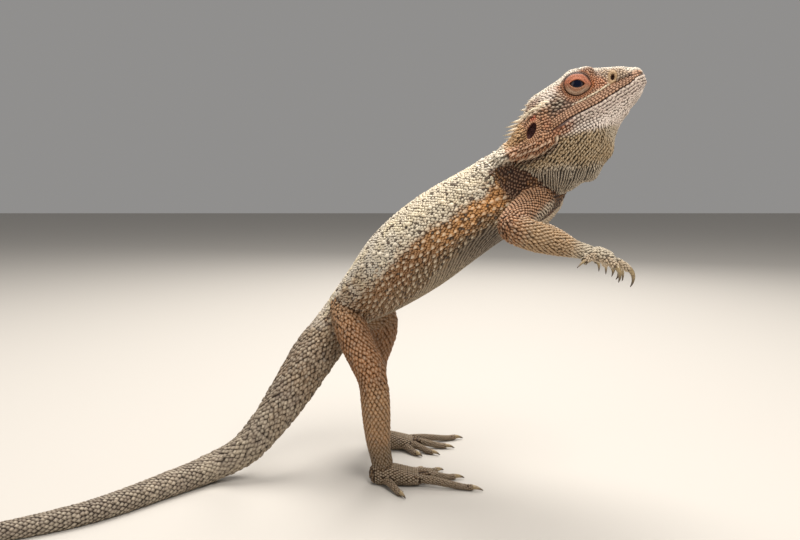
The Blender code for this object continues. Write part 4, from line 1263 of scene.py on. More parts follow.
def trunk_scale(row, share):
    """Kind, width, length, height, crest and edge of a small scale of the trunk or tail."""
    if row > HIP_ROW:
        return "rhomb", 1.0, 1.38, 1.0, RNG.uniform(0.0, 0.36), 0.12
    if share + RNG.normal(0, 0.03) < BACK_EDGE:
        kind = "granule" if RNG.uniform() < 0.45 else "keeled"
        pale = RNG.uniform(0.4, 0.9) * (1 - 0.65 * float(fade(6.6, HIP_ROW, row)))
        return kind, 1.0, 1.22, 1.15, pale, 0.52 + 0.14 * float(bump(4.2, 2.4, row))
    if row < NECK_ROW:
        return "granule", 1.0, 1.2, 1.2, RNG.uniform(0.0, 0.14), 0.2
    if share < belly_edge(row):
        return "keeled", 0.98, 1.35, 1.0, RNG.uniform(0.05, 0.24), 0.22
    return "keeled", 0.98, 1.7, 0.8, 0.1, 0.2


def limb_scale(path, row):
    """The same for a scale of a limb: sharp on arms, bead-like on legs."""
    if path.kind == "digit":
        return "rhomb", 1.0, 1.3, 1.3, 0.3, 0.22
    if "arm" in path.group:
        return "keeled", 1.02, 1.55, 1.15, 0.3, 0.22
    return "rhomb", 1.02, 1.42, 1.05 if row > 3 else 1.25, 0.12, 0.2


def tubercle_scales(ground, scales):
    """Big pale pointed scales scattered over the flanks, thinner on the back and towards the hip."""
    row, share = ground.row, rolled(ground.row, ground.angle)
    low = belly_edge(row) - 0.02
    chosen = (ground.which == NUMBER["spine"]) & (row > 2.9) & (row < 9.6) & (share > 0.24) & (share < low)
    apart = 2.6 + 1.3 * fade(0.42, 0.34, share) + 0.2 * fade(7.0, 9.0, row)
    for k in spread_scales(ground, scales, chosen, apart, 0, 1.0):
        lie = square_to(PATHS[NUMBER["spine"]].at(ground.along[k])[1], ground.normals[k])
        size = RNG.uniform(1.7, 2.45) * (1 - 0.22 * fade(low[k] - 0.12, low[k], share[k]))
        tall = RNG.uniform(1.0, 1.4)
        pale = float(np.interp(row[k], (3.6, 5.0, 6.0, 7.5), (0.75, 1.0, 0.9, 0.5)))
        scales.add(ground.points[k], ground.normals[k], lie, size, size * 1.15, tall, "tubercle", pale, 0.22)


def ring_scales(ground, scales, path, size=1.0, wanted=None):
    """Rings of scales round a path, each ring set half a scale on from the last."""
    number = PATHS.index(path)
    angles = np.linspace(0, 2 * pi, 73)
    length, count, index = 0.0, 0, 0
    loose = 0.06 if path.kind != "body" else 0.14 if size < 1 else 0.08
    while length < path.along[-1]:
        centre, tangent, lateral, up, half, rise, drop, row = path.at(length)
        grain = path.grain_at(row) * size
        across, high = outline(angles, half, rise, drop, path.exponent)
        walked = np.concatenate([[0], np.cumsum(np.hypot(np.diff(across), np.diff(high)))])
        ideal = walked[-1] / grain
        if not count or abs(count / ideal - 1) > 0.09:
            count = max(6, 2 * round(ideal / 2))
        width = walked[-1] / count
        for column in range(count):
            at = (column + 0.5 * (index % 2)) / count * walked[-1]
            at += RNG.normal(0, loose) * width
            share = rolled(row, np.interp(at, walked, angles))
            if wanted and not wanted(row, share):
                continue
            a, h = np.interp(at, walked, across), np.interp(at, walked, high)
            start = centre + tangent * RNG.normal(0, loose) * width
            place, normal, owner = ground.cast(start, lateral * a + up * h)
            if owner != number or not scales.free(place, 0.56 * width):
                continue
            if normal @ tangent < HEEL_TURN and path.kind == "digit":
                continue
            made = trunk_scale(row, share) if path.kind == "body" else limb_scale(path, row)
            kind, wide, long, tall, pale, gap = made
            lie = square_to(tangent + lateral * RNG.normal(0, 1.5 * loose), normal)
            wide *= width * RNG.uniform(0.92, 1.06)
            long *= width * RNG.uniform(0.94, 1.08)
            scales.add(place, normal, lie, wide, long, tall, kind, pale, gap)
        length += width * 0.80
        index += 1


def on_back(row, share):
    """Whether this is the neck, the back or a flank, whose scales are finer than the belly's."""
    return row < HIP_ROW and (share < belly_edge(row) - 0.02 or row < NECK_ROW)


def off_back(row, share):
    return not on_back(row, share)


def body_rings(ground, scales):
    """Fine rings over the back and flanks, and plain ones over the belly, the tail and the limbs."""
    spine = PATHS[NUMBER["spine"]]
    ring_scales(ground, scales, spine, FINE_BACK, on_back)
    ring_scales(ground, scales, spine, 1.0, off_back)
    for path in PATHS:
        if path.kind not in ("head", "body"):
            ring_scales(ground, scales, path)


LIP_ROWS = (  # height from the mouth line, width, length, first and last place, paleness, edge
    (0.58, 0.94, 1.45, 8.5, 42.5, 0.1, 0.30),
    (1.52, 0.80, 1.40, 8.0, 42.5, 0.1, 0.30),
    (2.28, 0.74, 1.35, 9.0, 41.5, 0.12, 0.30),
    (2.98, 0.68, 1.25, 9.0, 40.0, 0.12, 0.30),
    (3.72, 0.74, 1.75, 18.5, 33.2, 0.9, 0.5),
    (-0.82, 1.28, 1.95, 13.0, 42.5, 0.5, 0.30),
    (-2.06, 1.04, 1.90, 11.0, 42.5, 0.5, 0.34),
    (-3.12, 1.00, 1.70, 10.0, 42.5, 0.4, 0.34),
    (-4.14, 0.98, 1.55, 10.0, 42.0, 0.35, 0.36),
    (-5.14, 0.98, 1.45, 12.0, 39.0, 0.35, 0.36),
    (-6.14, 0.98, 1.40, 13.5, 36.0, 0.35, 0.36),
)


def lip_scales(ground, scales):
    """Rows of blocks along the upper and the lower lip, on both sides and round the snout."""
    for index, (offset, width, length, first, last, pale, gap) in enumerate(LIP_ROWS):
        upper = offset > 0
        for hand in (1, -1):
            along = first + 0.5 * length * (index % 2)
            while along < last:
                squeeze = float(canthus_lift(along)) / 3.7 if upper else 1.0
                shrink = float(np.interp(along, (9, 18, 30, 42), (0.72, 0.82, 1.0, 0.88)))
                drop = 0.0 if upper else 0.42 * float(corner_share(along))
                wave = 0.06 * sin(along * 0.9 + offset)
                high = mouth_height(along) + offset * squeeze + wave - drop
                place, normal, _ = ground.cast_in(along, high, hand)
                if scales.free(place, 0.4):
                    slope = np.array((-1, 0, -(mouth_height(along + 1) - mouth_height(along - 1)) / 2))
                    wide = width * RNG.uniform(0.92, 1.04) * squeeze * (1 if upper else 0.5 + 0.5 * shrink)
                    long = length * RNG.uniform(0.90, 1.02) * shrink
                    lie = square_to(HEAD @ slope, normal)
                    scales.add(place, normal, lie, wide, long, 1.25, "plate", pale, gap)
                along += length * shrink * RNG.uniform(0.97, 1.05)
            if last < 42:
                continue
            for turn in np.radians(np.arange(76, -1, -10 if abs(offset) < 2 else -13)):
                start = from_head((40.5, 0, mouth_height(44.0) + offset * (0.62 if upper else 0.9)))
                way = HEAD @ np.array((cos(turn), hand * sin(turn), 0))
                place, normal, _ = ground.cast(start, way)
                if scales.free(place, 0.75):
                    lie = square_to(-np.cross(way, HEAD[:, 2]) * -hand, normal)
                    scales.add(place, normal, lie, width * 0.9, length * 0.7, 1.25, "plate", pale, gap)


def turns_round(wide, tall, grain, shift):
    """The turns at which scales of this grain stand round an oval."""
    count = int(2 * pi * np.hypot(wide, tall) / np.sqrt(2) / grain)
    return [2 * pi * (n + shift) / count for n in range(count)]


def lid_scales(ground, scales):
    """Rings of fine granules on the lids, from the slit out to the crease, and two rings outside it."""
    inner = np.array((EYE_SLIT[0] + 0.45, EYE_SLIT[1] + 0.42))
    outer = np.array(LID_CREASE) - 0.42
    for hand in (1, -1):
        for k, share in enumerate((0.0, 0.19, 0.36, 0.53, 0.69, 0.85, 1.0, 1.6, 1.98)):
            wide, tall = inner + (outer - inner) * share
            grain = 0.46 if k == 0 else 0.54 if k < 7 else 0.78
            low, gap = (0.28, 0.74) if k < 7 else (0.9, 0.5)
            for turn in turns_round(wide, tall, grain, 0.5 * (k % 2)):
                out = 1 + (crease_out(turn) - 1) * min(share * 1.3, 1.0)
                a, h = wide * cos(turn) * out, tall * sin(turn) * out
                if k == 0:
                    h = 0.3 * sin(turn) + np.sign(h) * EYE_SLIT[1] * max(1 - abs(a / wide) ** 2.2, 0)
                place, normal, _ = ground.cast_in(*turned(a, h, LID_TILT, EYE[::2]), hand)
                if scales.free(place, 0.30):
                    run, climb = turned(-wide * sin(turn), tall * cos(turn), LID_TILT)
                    lie = square_to(HEAD @ np.array((run, 0, climb)), normal)
                    scales.add(place, normal, lie, grain, grain * 1.2, low, "granule", 0.0, gap)


def ear_scales(ground, scales):
    """Rings of small scales round each ear opening."""
    for hand in (1, -1):
        for k, share in enumerate((1.28, 1.66, 2.05)):
            wide, tall = EAR_SIZE[0] + 1.5 * (share - 1), EAR_SIZE[1] * 0.96 + 1.5 * (share - 1)
            for turn in turns_round(wide, tall, 0.86, 0.5 * (k % 2)):
                spot = turned(wide * cos(turn), tall * sin(turn), -EAR_TILT, EAR)
                place, normal, _ = ground.cast_in(*spot, hand)
                if scales.free(place, 0.55):
                    lie = square_to(HEAD @ np.array((-1, 0, -0.3)), normal)
                    scales.add(place, normal, lie, 0.86, 1.0, 1.0, "granule", 0.1, 0.34)


class Files:
    """Lines over the head's skin that follow the lie of its scales, evenly apart."""

    def __init__(self, ground, inside, apart):
        self.ground, self.inside, self.apart = ground, inside, apart
        self.taken = Crowd()

    def on_skin(self, place):
        spot, _, face, _ = self.ground.tree.find_nearest(Vector(place))
        ring = self.ground.faces[face]
        return np.array(spot), unit(self.ground.normals[ring].mean(0)), ring[0]

    def way(self, place, normal):
        lie = head_lie(to_head(place)[None])[0]
        return square_to(lie + 0.28 * noise(Vector(place) / 3.2) * np.cross(normal, lie), normal)

    def trace(self, place, normal, sign):
        """The places met on the way along or against the lie, until the line leaves or crowds."""
        met = []
        while len(met) < 400:
            place, normal, corner = self.on_skin(place + sign * FILE_STEP * self.way(place, normal))
            if not self.inside[corner] or not self.taken.free(place, 0.62 * self.apart):
                return met
            met.append((place, normal))
        return met

    def fill(self):
        """Lines over the whole of the region, each started beside one already drawn."""
        seeds = [self.ground.points[k] for k in np.flatnonzero(self.inside)[::7]]
        lines, beside = [], []
        while beside or seeds:
            place, normal, corner = self.on_skin(beside.pop() if beside else seeds.pop())
            if not self.inside[corner] or not self.taken.free(place, 0.93 * self.apart):
                continue
            line = self.trace(place, normal, -1)[::-1] + [(place, normal)] + self.trace(place, normal, 1)
            for spot, _ in line:
                self.taken.put(spot)
            if len(line) < 4:
                continue
            lines.append(line)
            for spot, up in line[::4]:
                side = np.cross(self.way(spot, up), up) * self.apart
                beside += [spot + side, spot - side]
        return lines


def beard_scales(ground, scales):
    """Slanting wavy files of narrow pointed scales down the chin and the throat pouch."""
    x, _, z = to_head(ground.points).T
    top = np.where(x > 9, mouth_height(x) - jaw_depth(x), -8.8)
    inside = np.isin(ground.which, HEAD_PATHS) & (z < top) & (x > -11)
    grey = fade(-14.5, -18.5, z + 0.35 * (x - 5)) >= 0.5
    chin = fade(25, 29, x) >= 0.5
    regions = (  # where, from file to file, from scale to scale, length, height, paleness, edge
        (inside & ~grey & ~chin, 1.32, 1.5, 1.9, 1.35, 0.35, 0.10),
        (inside & grey & ~chin, 0.98, 1.1, 1.9, 1.35, 0.12, 0.14),
        (inside & chin, 1.12, 1.3, 1.6, 1.0, 0.4, 0.42),
    )
    for region, apart, pace, long, tall, pale, gap in regions:
        files = Files(ground, region, apart)
        for line in files.fill():
            due = pace * RNG.uniform(0, 1)
            for n, (place, normal) in enumerate(line):
                if n * FILE_STEP < due:
                    continue
                due += pace * RNG.uniform(0.9, 1.1)
                if not scales.free(place, 0.5 * apart):
                    continue
                width = apart * RNG.uniform(0.70, 0.82)
                size = RNG.uniform(0.9, 1.15)
                lie = files.way(place, normal)
                scales.add(place, normal, lie, width, pace * long * size, tall * size, "beard", pale, gap)


HEAD_SPINES = (  # length, width, how far up they point, kind, paleness, then along and high of each
    (5.6, 1.9, 0.25, "spine", 1.0, ((-0.9, 5.2), (-2.5, 4.0), (-3.2, 2.7), (-5.0, 1.5))),
    (2.6, 1.4, 0.35, "spine", 0.9, ((0.4, 6.9), (2.2, 8.2), (4.2, 9.2), (6.4, 10.2))),
    (2.6, 1.4, 0.35, "spine", 0.9, ((8.8, 11.2), (-1.4, 6.2))),
    (2.2, 1.1, 0.30, "spine", 0.7, ((-5.8, 0.2), (-6.8, -1.2), (-7.8, -2.4), (-4.0, 1.0))),
)


def spine_rows():
    """Ridges and spines of the head: along, height, length, width, how far up they point, kind, paleness."""
    made = []
    for x, z in ((9.8, 6.7), (8.0, 6.5), (6.2, 6.2), (4.4, 5.9), (2.6, 5.7), (0.8, 5.5)):
        made.append((x, z, 4.2, 2.0, 0.05, "ridge", 1.0))
        made.append((x - 0.9, z - 1.3, 2.8, 1.4, 0.0, "ridge", 0.7))
    for *looks, places in HEAD_SPINES:
        made += [(x, z, *looks) for x, z in places]
    for x in np.arange(8.6, -11.5, -1.55):
        z = fold_height(x)
        made.append((x, z + 0.1, 3.5, 1.8, -0.45, "ridge", 0.85))
        if x < 7:
            made.append((x + 0.5, z + 1.9, 2.9, 1.6, -0.36, "ridge", 0.6))
        if x < 1:
            made.append((x + 0.2, z + 3.6, 2.4, 1.4, -0.28, "ridge", 0.4))
    return made


def head_spines(ground, scales):
    for along, high, length, width, rise, kind, pale in spine_rows():
        for hand in (1, -1):
            shift, lift = RNG.normal(0, 0.18), RNG.normal(0, 0.15)
            place, normal, _ = ground.cast_in(along + shift, high + lift, hand)
            if place is None:
                continue
            size = RNG.uniform(0.84, 1.12)
            way = unit(HEAD @ np.array((-1, (0.12 + RNG.normal(0, 0.05)) * hand, rise + RNG.normal(0, 0.04))))
            if kind == "spine":
                root, up = place - 0.3 * normal, square_to(normal, way)
                scales.add(root, up, way, width, length * size, 1.0, kind, pale, 0.6)
            else:
                tall = RNG.uniform(0.9, 1.35)
                lie = square_to(way, normal)
                scales.add(place, normal, lie, width * size, length * size, tall, kind, pale, 0.2)


def tree_of(places):
    tree = KDTree(len(places))
    for n, place in enumerate(places):
        tree.insert(place, n)
    tree.balance()
    return tree


def spread_scales(ground, scales, chosen, grain, rounds, share=0.86):
    """Evenly spread skin vertices out of the chosen ones, clear of the scales already placed."""
    picked = []
    trial = Crowd()
    for k in RNG.permutation(np.flatnonzero(chosen)):
        place = ground.points[k]
        if scales.free(place, 0.72 * min(grain[k], 1.6)) and trial.free(place, share * grain[k]):
            trial.put(place)
            picked.append(k)
    picked = np.array(picked, int)
    pool = np.flatnonzero(chosen)
    places = [Vector(place) for place in ground.points[pool]]
    fixed = [made[0] for made in scales.made]
    for _ in range(rounds):  # each place moves to the middle of the skin that is nearest to it
        tree = tree_of(fixed + list(ground.points[picked]))
        owner = np.array([tree.find(place)[1] for place in places]) - len(fixed)
        weight = ground.area[pool] * (owner >= 0)
        owner = np.maximum(owner, 0)
        total = np.bincount(owner, weight, len(picked))
        sums = [np.bincount(owner, weight * ground.points[pool, a], len(picked)) for a in range(3)]
        middle = np.stack(sums, axis=1) / np.maximum(total, 1e-9)[:, None]
        seek = tree_of(places)
        moved = zip(middle, total, picked)
        picked = np.array([pool[seek.find(m)[1]] if s > 0 else k for m, s, k in moved], int)
    return np.unique(picked)


def head_scales(ground, scales):
    """The face's own rows first, then scales spread evenly over the rest of the head."""
    for rows in (lip_scales, lid_scales, ear_scales, head_spines, beard_scales):
        rows(ground, scales)
    local = to_head(ground.points)
    eye, mouth, nostril, ear, _, _ = face_features(local)
    x, _, z = local.T
    chosen = np.isin(ground.which, HEAD_PATHS) & (eye > 1.12) & (ear > 1.15) & (nostril > 2.3)
    chosen &= (mouth > np.where(x > 19, canthus_lift(x) + 0.4, 3.4)) | (mouth < -jaw_depth(x)) | (x < 8.0)
    grain = head_grain(local)
    lies = square_to(head_lie(local), ground.normals)
    for k in spread_scales(ground, scales, chosen, grain, 4):
        width = grain[k] * RNG.uniform(0.94, 1.1)
        crown = abs(ground.angle[k]) / pi < 0.26 or x[k] > 27
        kind, long, tall, pale = "keeled", 1.4, 1.3, 0.3 if crown else 0.15
        if crown or eye[k] < 1.8 or ear[k] < 1.9:
            kind, long, tall = "granule", 1.12, 0.95
        if head_spot(x[k], z[k], (12.5, 7.0), (7.5, 5.0)) > 0.4:
            kind, long, tall, pale = "keeled", 1.75, 1.6, 0.5
        sizes = width * 1.04, width * long, tall
        scales.add(ground.points[k], ground.normals[k], lies[k], *sizes, kind, pale, 0.30)


def fill_scales(ground, scales, size):
    """Scales on the skin that the rings leave bare, where limbs and folds meet."""
    local = to_head(ground.points)
    eye, mouth, nostril, ear, _, _ = face_features(local)
    x = local[:, 0]
    on_head = np.isin(ground.which, HEAD_PATHS)
    grain = np.array([PATHS[w].grain_at(r) for w, r in zip(ground.which, ground.row)])
    grain = np.where(on_head, head_grain(local), grain) * size
    bare = (eye < 1.12) | (ear < 1.12) | (nostril < 2.3) | (np.abs(mouth) < 0.5)
    bare |= (x > 7) & (mouth < 0.3) & (mouth > -1.1) & (corner_share(x) > 0.12)
    chosen = ~(on_head & bare)
    if size < 1:
        limb = np.array([path.kind == "limb" for path in PATHS])[ground.which]
        chosen &= limb | (on_head & (x > 24) & (mouth < -jaw_depth(x)))
    for k in spread_scales(ground, scales, chosen, grain, 0):
        path, normal = PATHS[ground.which[k]], ground.normals[k]
        way = path.at(ground.along[k])[1] if not on_head[k] else head_lie(local[k : k + 1])[0]
        heel = path.kind == "digit" and normal @ way < HEEL_TURN
        lie = square_to(np.array((0, 0, -1.0)) if heel else way, normal)
        kind = "granule" if on_head[k] or heel else "keeled"
        scales.add(ground.points[k], normal, lie, grain[k], grain[k] * 1.4, 0.9, kind, 0.1, 0.3)


# ---------------------------------------------------------------- coat pieces
PIECES = {"scales_back": "skin_back", "scales_belly": "skin_back", "scales_tail": "skin_tail"}  # piece: slot
PIECES.update({f"scales_head_{side}": "skin_face" for side in SIDES})
PIECES["scales_beard"] = "skin_pale"
PIECES.update({f"scales_{limb}_{side}": "skin_leg" for limb in ("arm", "leg") for side in SIDES})


def piece_of(points, which, row, angle):
    """Which coat piece each scale belongs to."""
    x, y, z = to_head(points).T
    groups = np.array([path.group for path in PATHS])[which]
    made = np.char.add("scales_", groups.astype("U20"))
    trunk = np.where(rolled(row, angle) < BACK_EDGE, "scales_back", "scales_belly")
    made = np.where(groups == "body", np.where(row < HIP_ROW, trunk, "scales_tail"), made)
    head = groups == "head"
    made = np.where(head, np.where(y < 0, "scales_head_right", "scales_head_left"), made)
    return np.where(head & (z < np.where(x > 7, mouth_height(x) - 3.7, -9.0)), "scales_beard", made)


def unwrap(which, angle, along):
    """Places on an unwrap of the skin: each path has a strip of its own, round by along."""
    made = np.zeros((len(which), 2))
    for group in {path.group for path in PATHS}:
        members = [k for k, path in enumerate(PATHS) if path.group == group]
        spans = np.array([2 * pi * PATHS[k].half.max() for k in members])
        starts = np.concatenate([[0], np.cumsum(spans + 1.0)])
        for k, start, span in zip(members, starts, spans):
            mine = which == k
            u = (start + span * (0.5 + angle[mine] / (2 * pi))) / starts[-1]
            v = np.clip(along[mine] / PATHS[k].along[-1], -0.05, 1.05)
            made[mine] = np.stack([u, v], axis=1)
    return 0.02 + 0.96 * (made - [0, -0.05]) / [1, 1.1]


def coat_mesh(name, scales, chosen, paint, roots):
    """One mesh of all the chosen scales, with their colours and their places on the unwrap."""
    parts = {key: [] for key in ("verts", "faces", "colours", "uv", "relief", "tone", "pale", "gap")}
    start = 0
    for number, kind in enumerate(KINDS):
        shape = SHAPES[kind]
        mine = np.flatnonzero(chosen & (scales["kind"] == number))
        if not len(mine):
            continue
        n, m = len(mine), len(shape.points)
        table = {key: column[mine] for key, column in scales.items()}
        width, length, deep = table["width"], table["length"], table["width"] * table["height"]
        made = table["place"][:, None, :]
        axes = np.cross(table["lie"], table["normal"]), table["lie"], table["normal"]
        for axis, share, size in zip(axes, shape.points.T, (width, length, deep)):
            made = made + axis[:, None, :] * (share[None, :] * size[:, None])[..., None]
        parts["verts"].append(made.reshape(-1, 3))
        parts["faces"].append((shape.faces[None] + start + np.arange(n)[:, None, None] * m).reshape(-1, 3))
        parts["colours"].append(np.repeat(paint[mine], m, axis=0))
        parts["uv"].append((roots[mine][:, None, :] + shape.points[None, :, :2] * PATCH).reshape(-1, 2))
        parts["relief"].append(np.tile(shape.relief, n))
        parts["tone"].append(np.repeat(RNG.uniform(0, 1, n), m))
        for key in ("pale", "gap"):
            parts[key].append(np.repeat(table[key], m))
        start += n * m
    parts = {key: np.concatenate(arrays) for key, arrays in parts.items()}
    parts["verts"][:, 2] = np.maximum(parts["verts"][:, 2], FLOOR)
    mesh = bpy.data.meshes.new(name)
    mesh.from_pydata(parts["verts"], [], parts["faces"])
    for key in ("relief", "tone", "pale", "gap"):
        store(mesh, key, parts[key])
    paint_mesh(mesh, parts["colours"])
    layer = mesh.uv_layers.new(name="OFBake")
    layer.uv.foreach_set("vector", parts["uv"][parts["faces"].ravel()].astype(np.float32).ravel())
    mesh.shade_smooth()
    mesh.set_sharp_from_angle(angle=radians(75))
    return mesh


def paint_mesh(mesh, colours):
    layer = mesh.attributes.new("marking", "FLOAT_COLOR", "POINT")
    opaque = np.concatenate([colours, np.ones((len(colours), 1))], axis=1)
    layer.data.foreach_set("color", opaque.astype(np.float32).ravel())


# ---------------------------------------------------------------- shader maths
def operator(operation, reflected=False):
    """An operator that adds its Math node."""

    def work(self, other):
        return self.look.math(operation, *((other, self) if reflected else (self, other)))

    return work


class Number:
    """A number in a material, so that its maths reads as an expression."""

    def __init__(self, look, socket):
        self.look, self.socket = look, socket

    __add__, __radd__ = operator("ADD"), operator("ADD", True)
    __sub__, __rsub__ = operator("SUBTRACT"), operator("SUBTRACT", True)
    __mul__, __rmul__ = operator("MULTIPLY"), operator("MULTIPLY", True)


class Look:
    """A material under construction."""

    def __init__(self, name, **constants):
        self.material = bpy.data.materials.new(name)
        self.material.use_nodes = True
        self.tree = self.material.node_tree
        self.shader = self.tree.nodes["Principled BSDF"]
        for key, value in constants.items():
            self.shader.inputs[key.replace("_", " ").title().replace("Ior", "IOR")].default_value = value

    def link(self, value, socket):
        if isinstance(value, Number):
            value = value.socket
        if isinstance(value, bpy.types.NodeSocket):
            self.tree.links.new(value, socket)
        else:
            socket.default_value = value

    def node(self, kind, settings=(), sockets=(), out=0):
        """Adds a node: its settings first, then the values or links of its sockets."""
        made = self.tree.nodes.new(kind)
        for key, value in dict(settings).items():
            setattr(made, key, value)
        for key, value in dict(sockets).items():
            self.link(value, made.inputs[key])
        return made.outputs[out]

    def math(self, operation, *values):
        return Number(self, self.node("ShaderNodeMath", {"operation": operation}, dict(enumerate(values))))

    def number(self, name):
        """A number stored on the mesh."""
        return Number(self, self.node("ShaderNodeAttribute", {"attribute_name": name}, out="Fac"))

    def colour(self, name):
        return self.node("ShaderNodeAttribute", {"attribute_name": name}, out="Color")

    def noise(self, size, detail=2.0):
        """Noise from about 0 to 1 with lumps of about this many millimetres."""
        place = self.node("ShaderNodeTexCoord", out="Object")
        sockets = {"Vector": place, "Scale": 1000 / size, "Detail": detail}
        return Number(self, self.node("ShaderNodeTexNoise", {}, sockets))

    def mix(self, share, first, second, blend="MIX"):
        """One colour laid over another by a share from 0 to 1."""
        settings = {"data_type": "RGBA", "blend_type": blend, "clamp_factor": True}
        return self.node("ShaderNodeMix", settings, {0: share, 6: first, 7: second}, out=2)

    def ramp(self, value, low, high, bottom=0.0, top=1.0):
        sockets = {"Value": value, "From Min": low, "From Max": high, "To Min": bottom, "To Max": top}
        return Number(self, self.node("ShaderNodeMapRange", {"interpolation_type": "SMOOTHSTEP"}, sockets))

    def shaded(self, base, red, green, blue):
        """A colour darkened by a share for each of its parts."""
        grey = self.node("ShaderNodeCombineColor", {}, {0: red, 1: green, 2: blue})
        return self.mix(1.0, base, grey, "MULTIPLY")

    def finish(self, colour, roughness, height=None, distance=0.1):
        """Links what varies to the shader. distance is the bump's depth in millimetres."""
        self.link(colour, self.shader.inputs["Base Color"])
        self.link(roughness, self.shader.inputs["Roughness"])
        if height is not None:
            sockets = {"Height": height, "Distance": distance / 1000, "Strength": 1.0}
            self.link(self.node("ShaderNodeBump", {}, sockets), self.shader.inputs["Normal"])
        return self.material


def rgba(colour):
    return (*[float(v) for v in colour], 1.0)


def scale_look(name):
    """Horny scales: darkened at the edge as painted shade between them, the marking on them, paler and
    smoother on their crests, partly their own cream and partly a painted highlight.
    """
    look = Look(name, specular_ior_level=0.3)
    base = look.colour("marking")
    relief, tone, pale, gap = (look.number(key) for key in ("relief", "tone", "pale", "gap"))
    # painted shade: each scale darkens and warms towards its sunken edge, down to its gap at the rim
    rise = look.ramp(relief, 0.0, 0.62)
    shade = (gap + (1 - gap) * rise) * (0.78 + 0.34 * tone) * (0.86 + 0.28 * look.noise(0.5, 3.0))
    lit = look.shaded(base, shade, shade * (0.94 + 0.05 * rise), shade * (0.88 + 0.09 * rise))
    # painted highlight on every crest, and the scale's own cream there by its paleness
    crest = look.ramp(relief, 0.6, 1.0, 0.0, 0.16) + pale * look.ramp(relief, 0.3, 1.0, 0.15, 0.62)
    colour = look.mix(crest, lit, rgba(BONE))
    grain = look.noise(0.22, 4.0)
    rough = 0.64 - 0.16 * relief + 0.12 * look.noise(0.8)
    return look.finish(colour, rough, grain, 0.05)


def skin_look():
    """The skin between the scales: darker than the marking, partly its own colour and partly painted shade
    between the scales, and finely creased, with painted shade in the creases.
    """
    look = Look("skin between scales", specular_ior_level=0.3)
    base = look.colour("marking")
    open_skin = look.number("bare")
    sockets = {"Vector": look.node("ShaderNodeTexCoord", out="Object"), "Scale": 1600}
    cells = look.node("ShaderNodeTexVoronoi", {"feature": "DISTANCE_TO_EDGE"}, sockets)
    crease = look.ramp(Number(look, cells), 0.0, 0.16)
    # painted shade: skin under the coat keeps little of the marking's brightness, bare skin more, and it is
    # darker again in the fine creases
    shade = (0.28 + 0.60 * open_skin) * (0.72 + 0.28 * crease) * (0.85 + 0.3 * look.noise(1.4))
    colour = look.shaded(base, shade, shade * 0.93, shade * 0.86)
    return look.finish(colour, 0.66 - 0.12 * crease, crease, 0.06)


def eye_look():
    """A wet dark eye: black pupil tinted blue as a painted reflection, dim iris, dark brown white."""
    look = Look("eye", coat_weight=1.0, coat_roughness=0.03, coat_ior=1.22, specular_ior_level=0.1)
    off = look.number("off_axis")
    flecks = look.noise(0.35, 4.0)
    iris = look.mix(look.ramp(flecks, 0.45, 0.75), rgba(IRIS), rgba(IRIS_FLECK))
    rim = look.mix(look.ramp(off, 23.0, 27.0), iris, rgba(IRIS_RIM))
    # the pupil: black tinted blue, a painted reflection
    pupil = look.mix(look.ramp(off, 16.0, 18.5), rgba(PUPIL_WITH_PAINTED_REFLECTION), rim)
    white = look.mix(look.ramp(off, 33.0, 42.0), pupil, rgba(EYE_WHITE))
    return look.finish(white, 0.08 + 0.1 * flecks)


def claw_look():
    """Translucent-looking horn: pale olive brown, streaked along its length and darker at the tip."""
    look = Look("claw horn", specular_ior_level=0.5, coat_weight=0.35, coat_roughness=0.25)
    along = look.number("along")
    streak = look.noise(0.5, 4.0)
    root = look.mix(look.ramp(streak, 0.35, 0.7), rgba(HORN), rgba(HORN_STREAK))
    colour = look.mix(look.ramp(along, 0.35, 0.95), root, rgba(HORN_TIP))
    return look.finish(colour, 0.28 + 0.2 * streak, streak, 0.04)


# ---------------------------------------------------------------- eyes and claws
def eyeball(hand):
    """An eyeball with its cornea standing out a little, and each point's angle off its axis."""
    shape = bmesh.new()
    bmesh.ops.create_uvsphere(shape, u_segments=48, v_segments=32, radius=EYE_RADIUS)
    angles = []
    for vert in shape.verts:
        off = degrees(vert.co.angle(Vector((0, 0, 1))))
        angles.append(off)
        vert.co *= 1 + CORNEA[0] * float(1 - fade(*CORNEA[1:], off))
    forward, left, up = HEAD.T
    turn = Matrix((forward.tolist(), (up * -hand).tolist(), (left * hand).tolist())).transposed()
    centre = from_head(EYE * (1, hand, 1))
    bmesh.ops.transform(shape, matrix=Matrix.Translation(centre) @ turn.to_4x4(), verts=shape.verts)
    bmesh.ops.recalc_face_normals(shape, faces=shape.faces)
    mesh = bpy.data.meshes.new("eye")
    mesh.from_pydata([vert.co for vert in shape.verts], [], steady_faces(shape))
    shape.free()
    store(mesh, "off_axis", angles)
    mesh.shade_smooth()
    return mesh


def claw_shape(shape, root, way, facts):
    """A horn curve in the plane of its toe, deeper than wide, with a blunt ridge above."""
    length, end, thick = facts
    wide, rise, drop = CLAW_SECTION
    level = unit(np.array((way[0], way[1], 0)))
    across = np.cross(level, (0, 0, 1))
    begin = degrees(asin(-way[2]))
    at, before = root - way * CLAW_ROOT, None
    for k in range(CLAW_RINGS + 1):
        share = k / CLAW_RINGS
        radius = (CLAW_RADIUS * (1 - share) ** 0.8 * 1.08 + 0.12) * thick
        angle = radians(begin + (end - begin) * min(share * 1.15, 1))
        forward = level * cos(angle) - np.array((0, 0, sin(angle)))
        up = level * sin(angle) + np.array((0, 0, cos(angle)))
        verts, ring = new_ring(shape, CLAW_SIDES)
        for vert in verts:
            side, high = vert.co.x * wide, vert.co.y * (rise if vert.co.y > 0 else drop)
            vert.co = Vector(at + (across * side + up * high) * radius)
        if before:
            bmesh.ops.bridge_loops(shape, edges=before + ring)
        before = ring
        at = at + forward * (length + CLAW_ROOT) / CLAW_RINGS


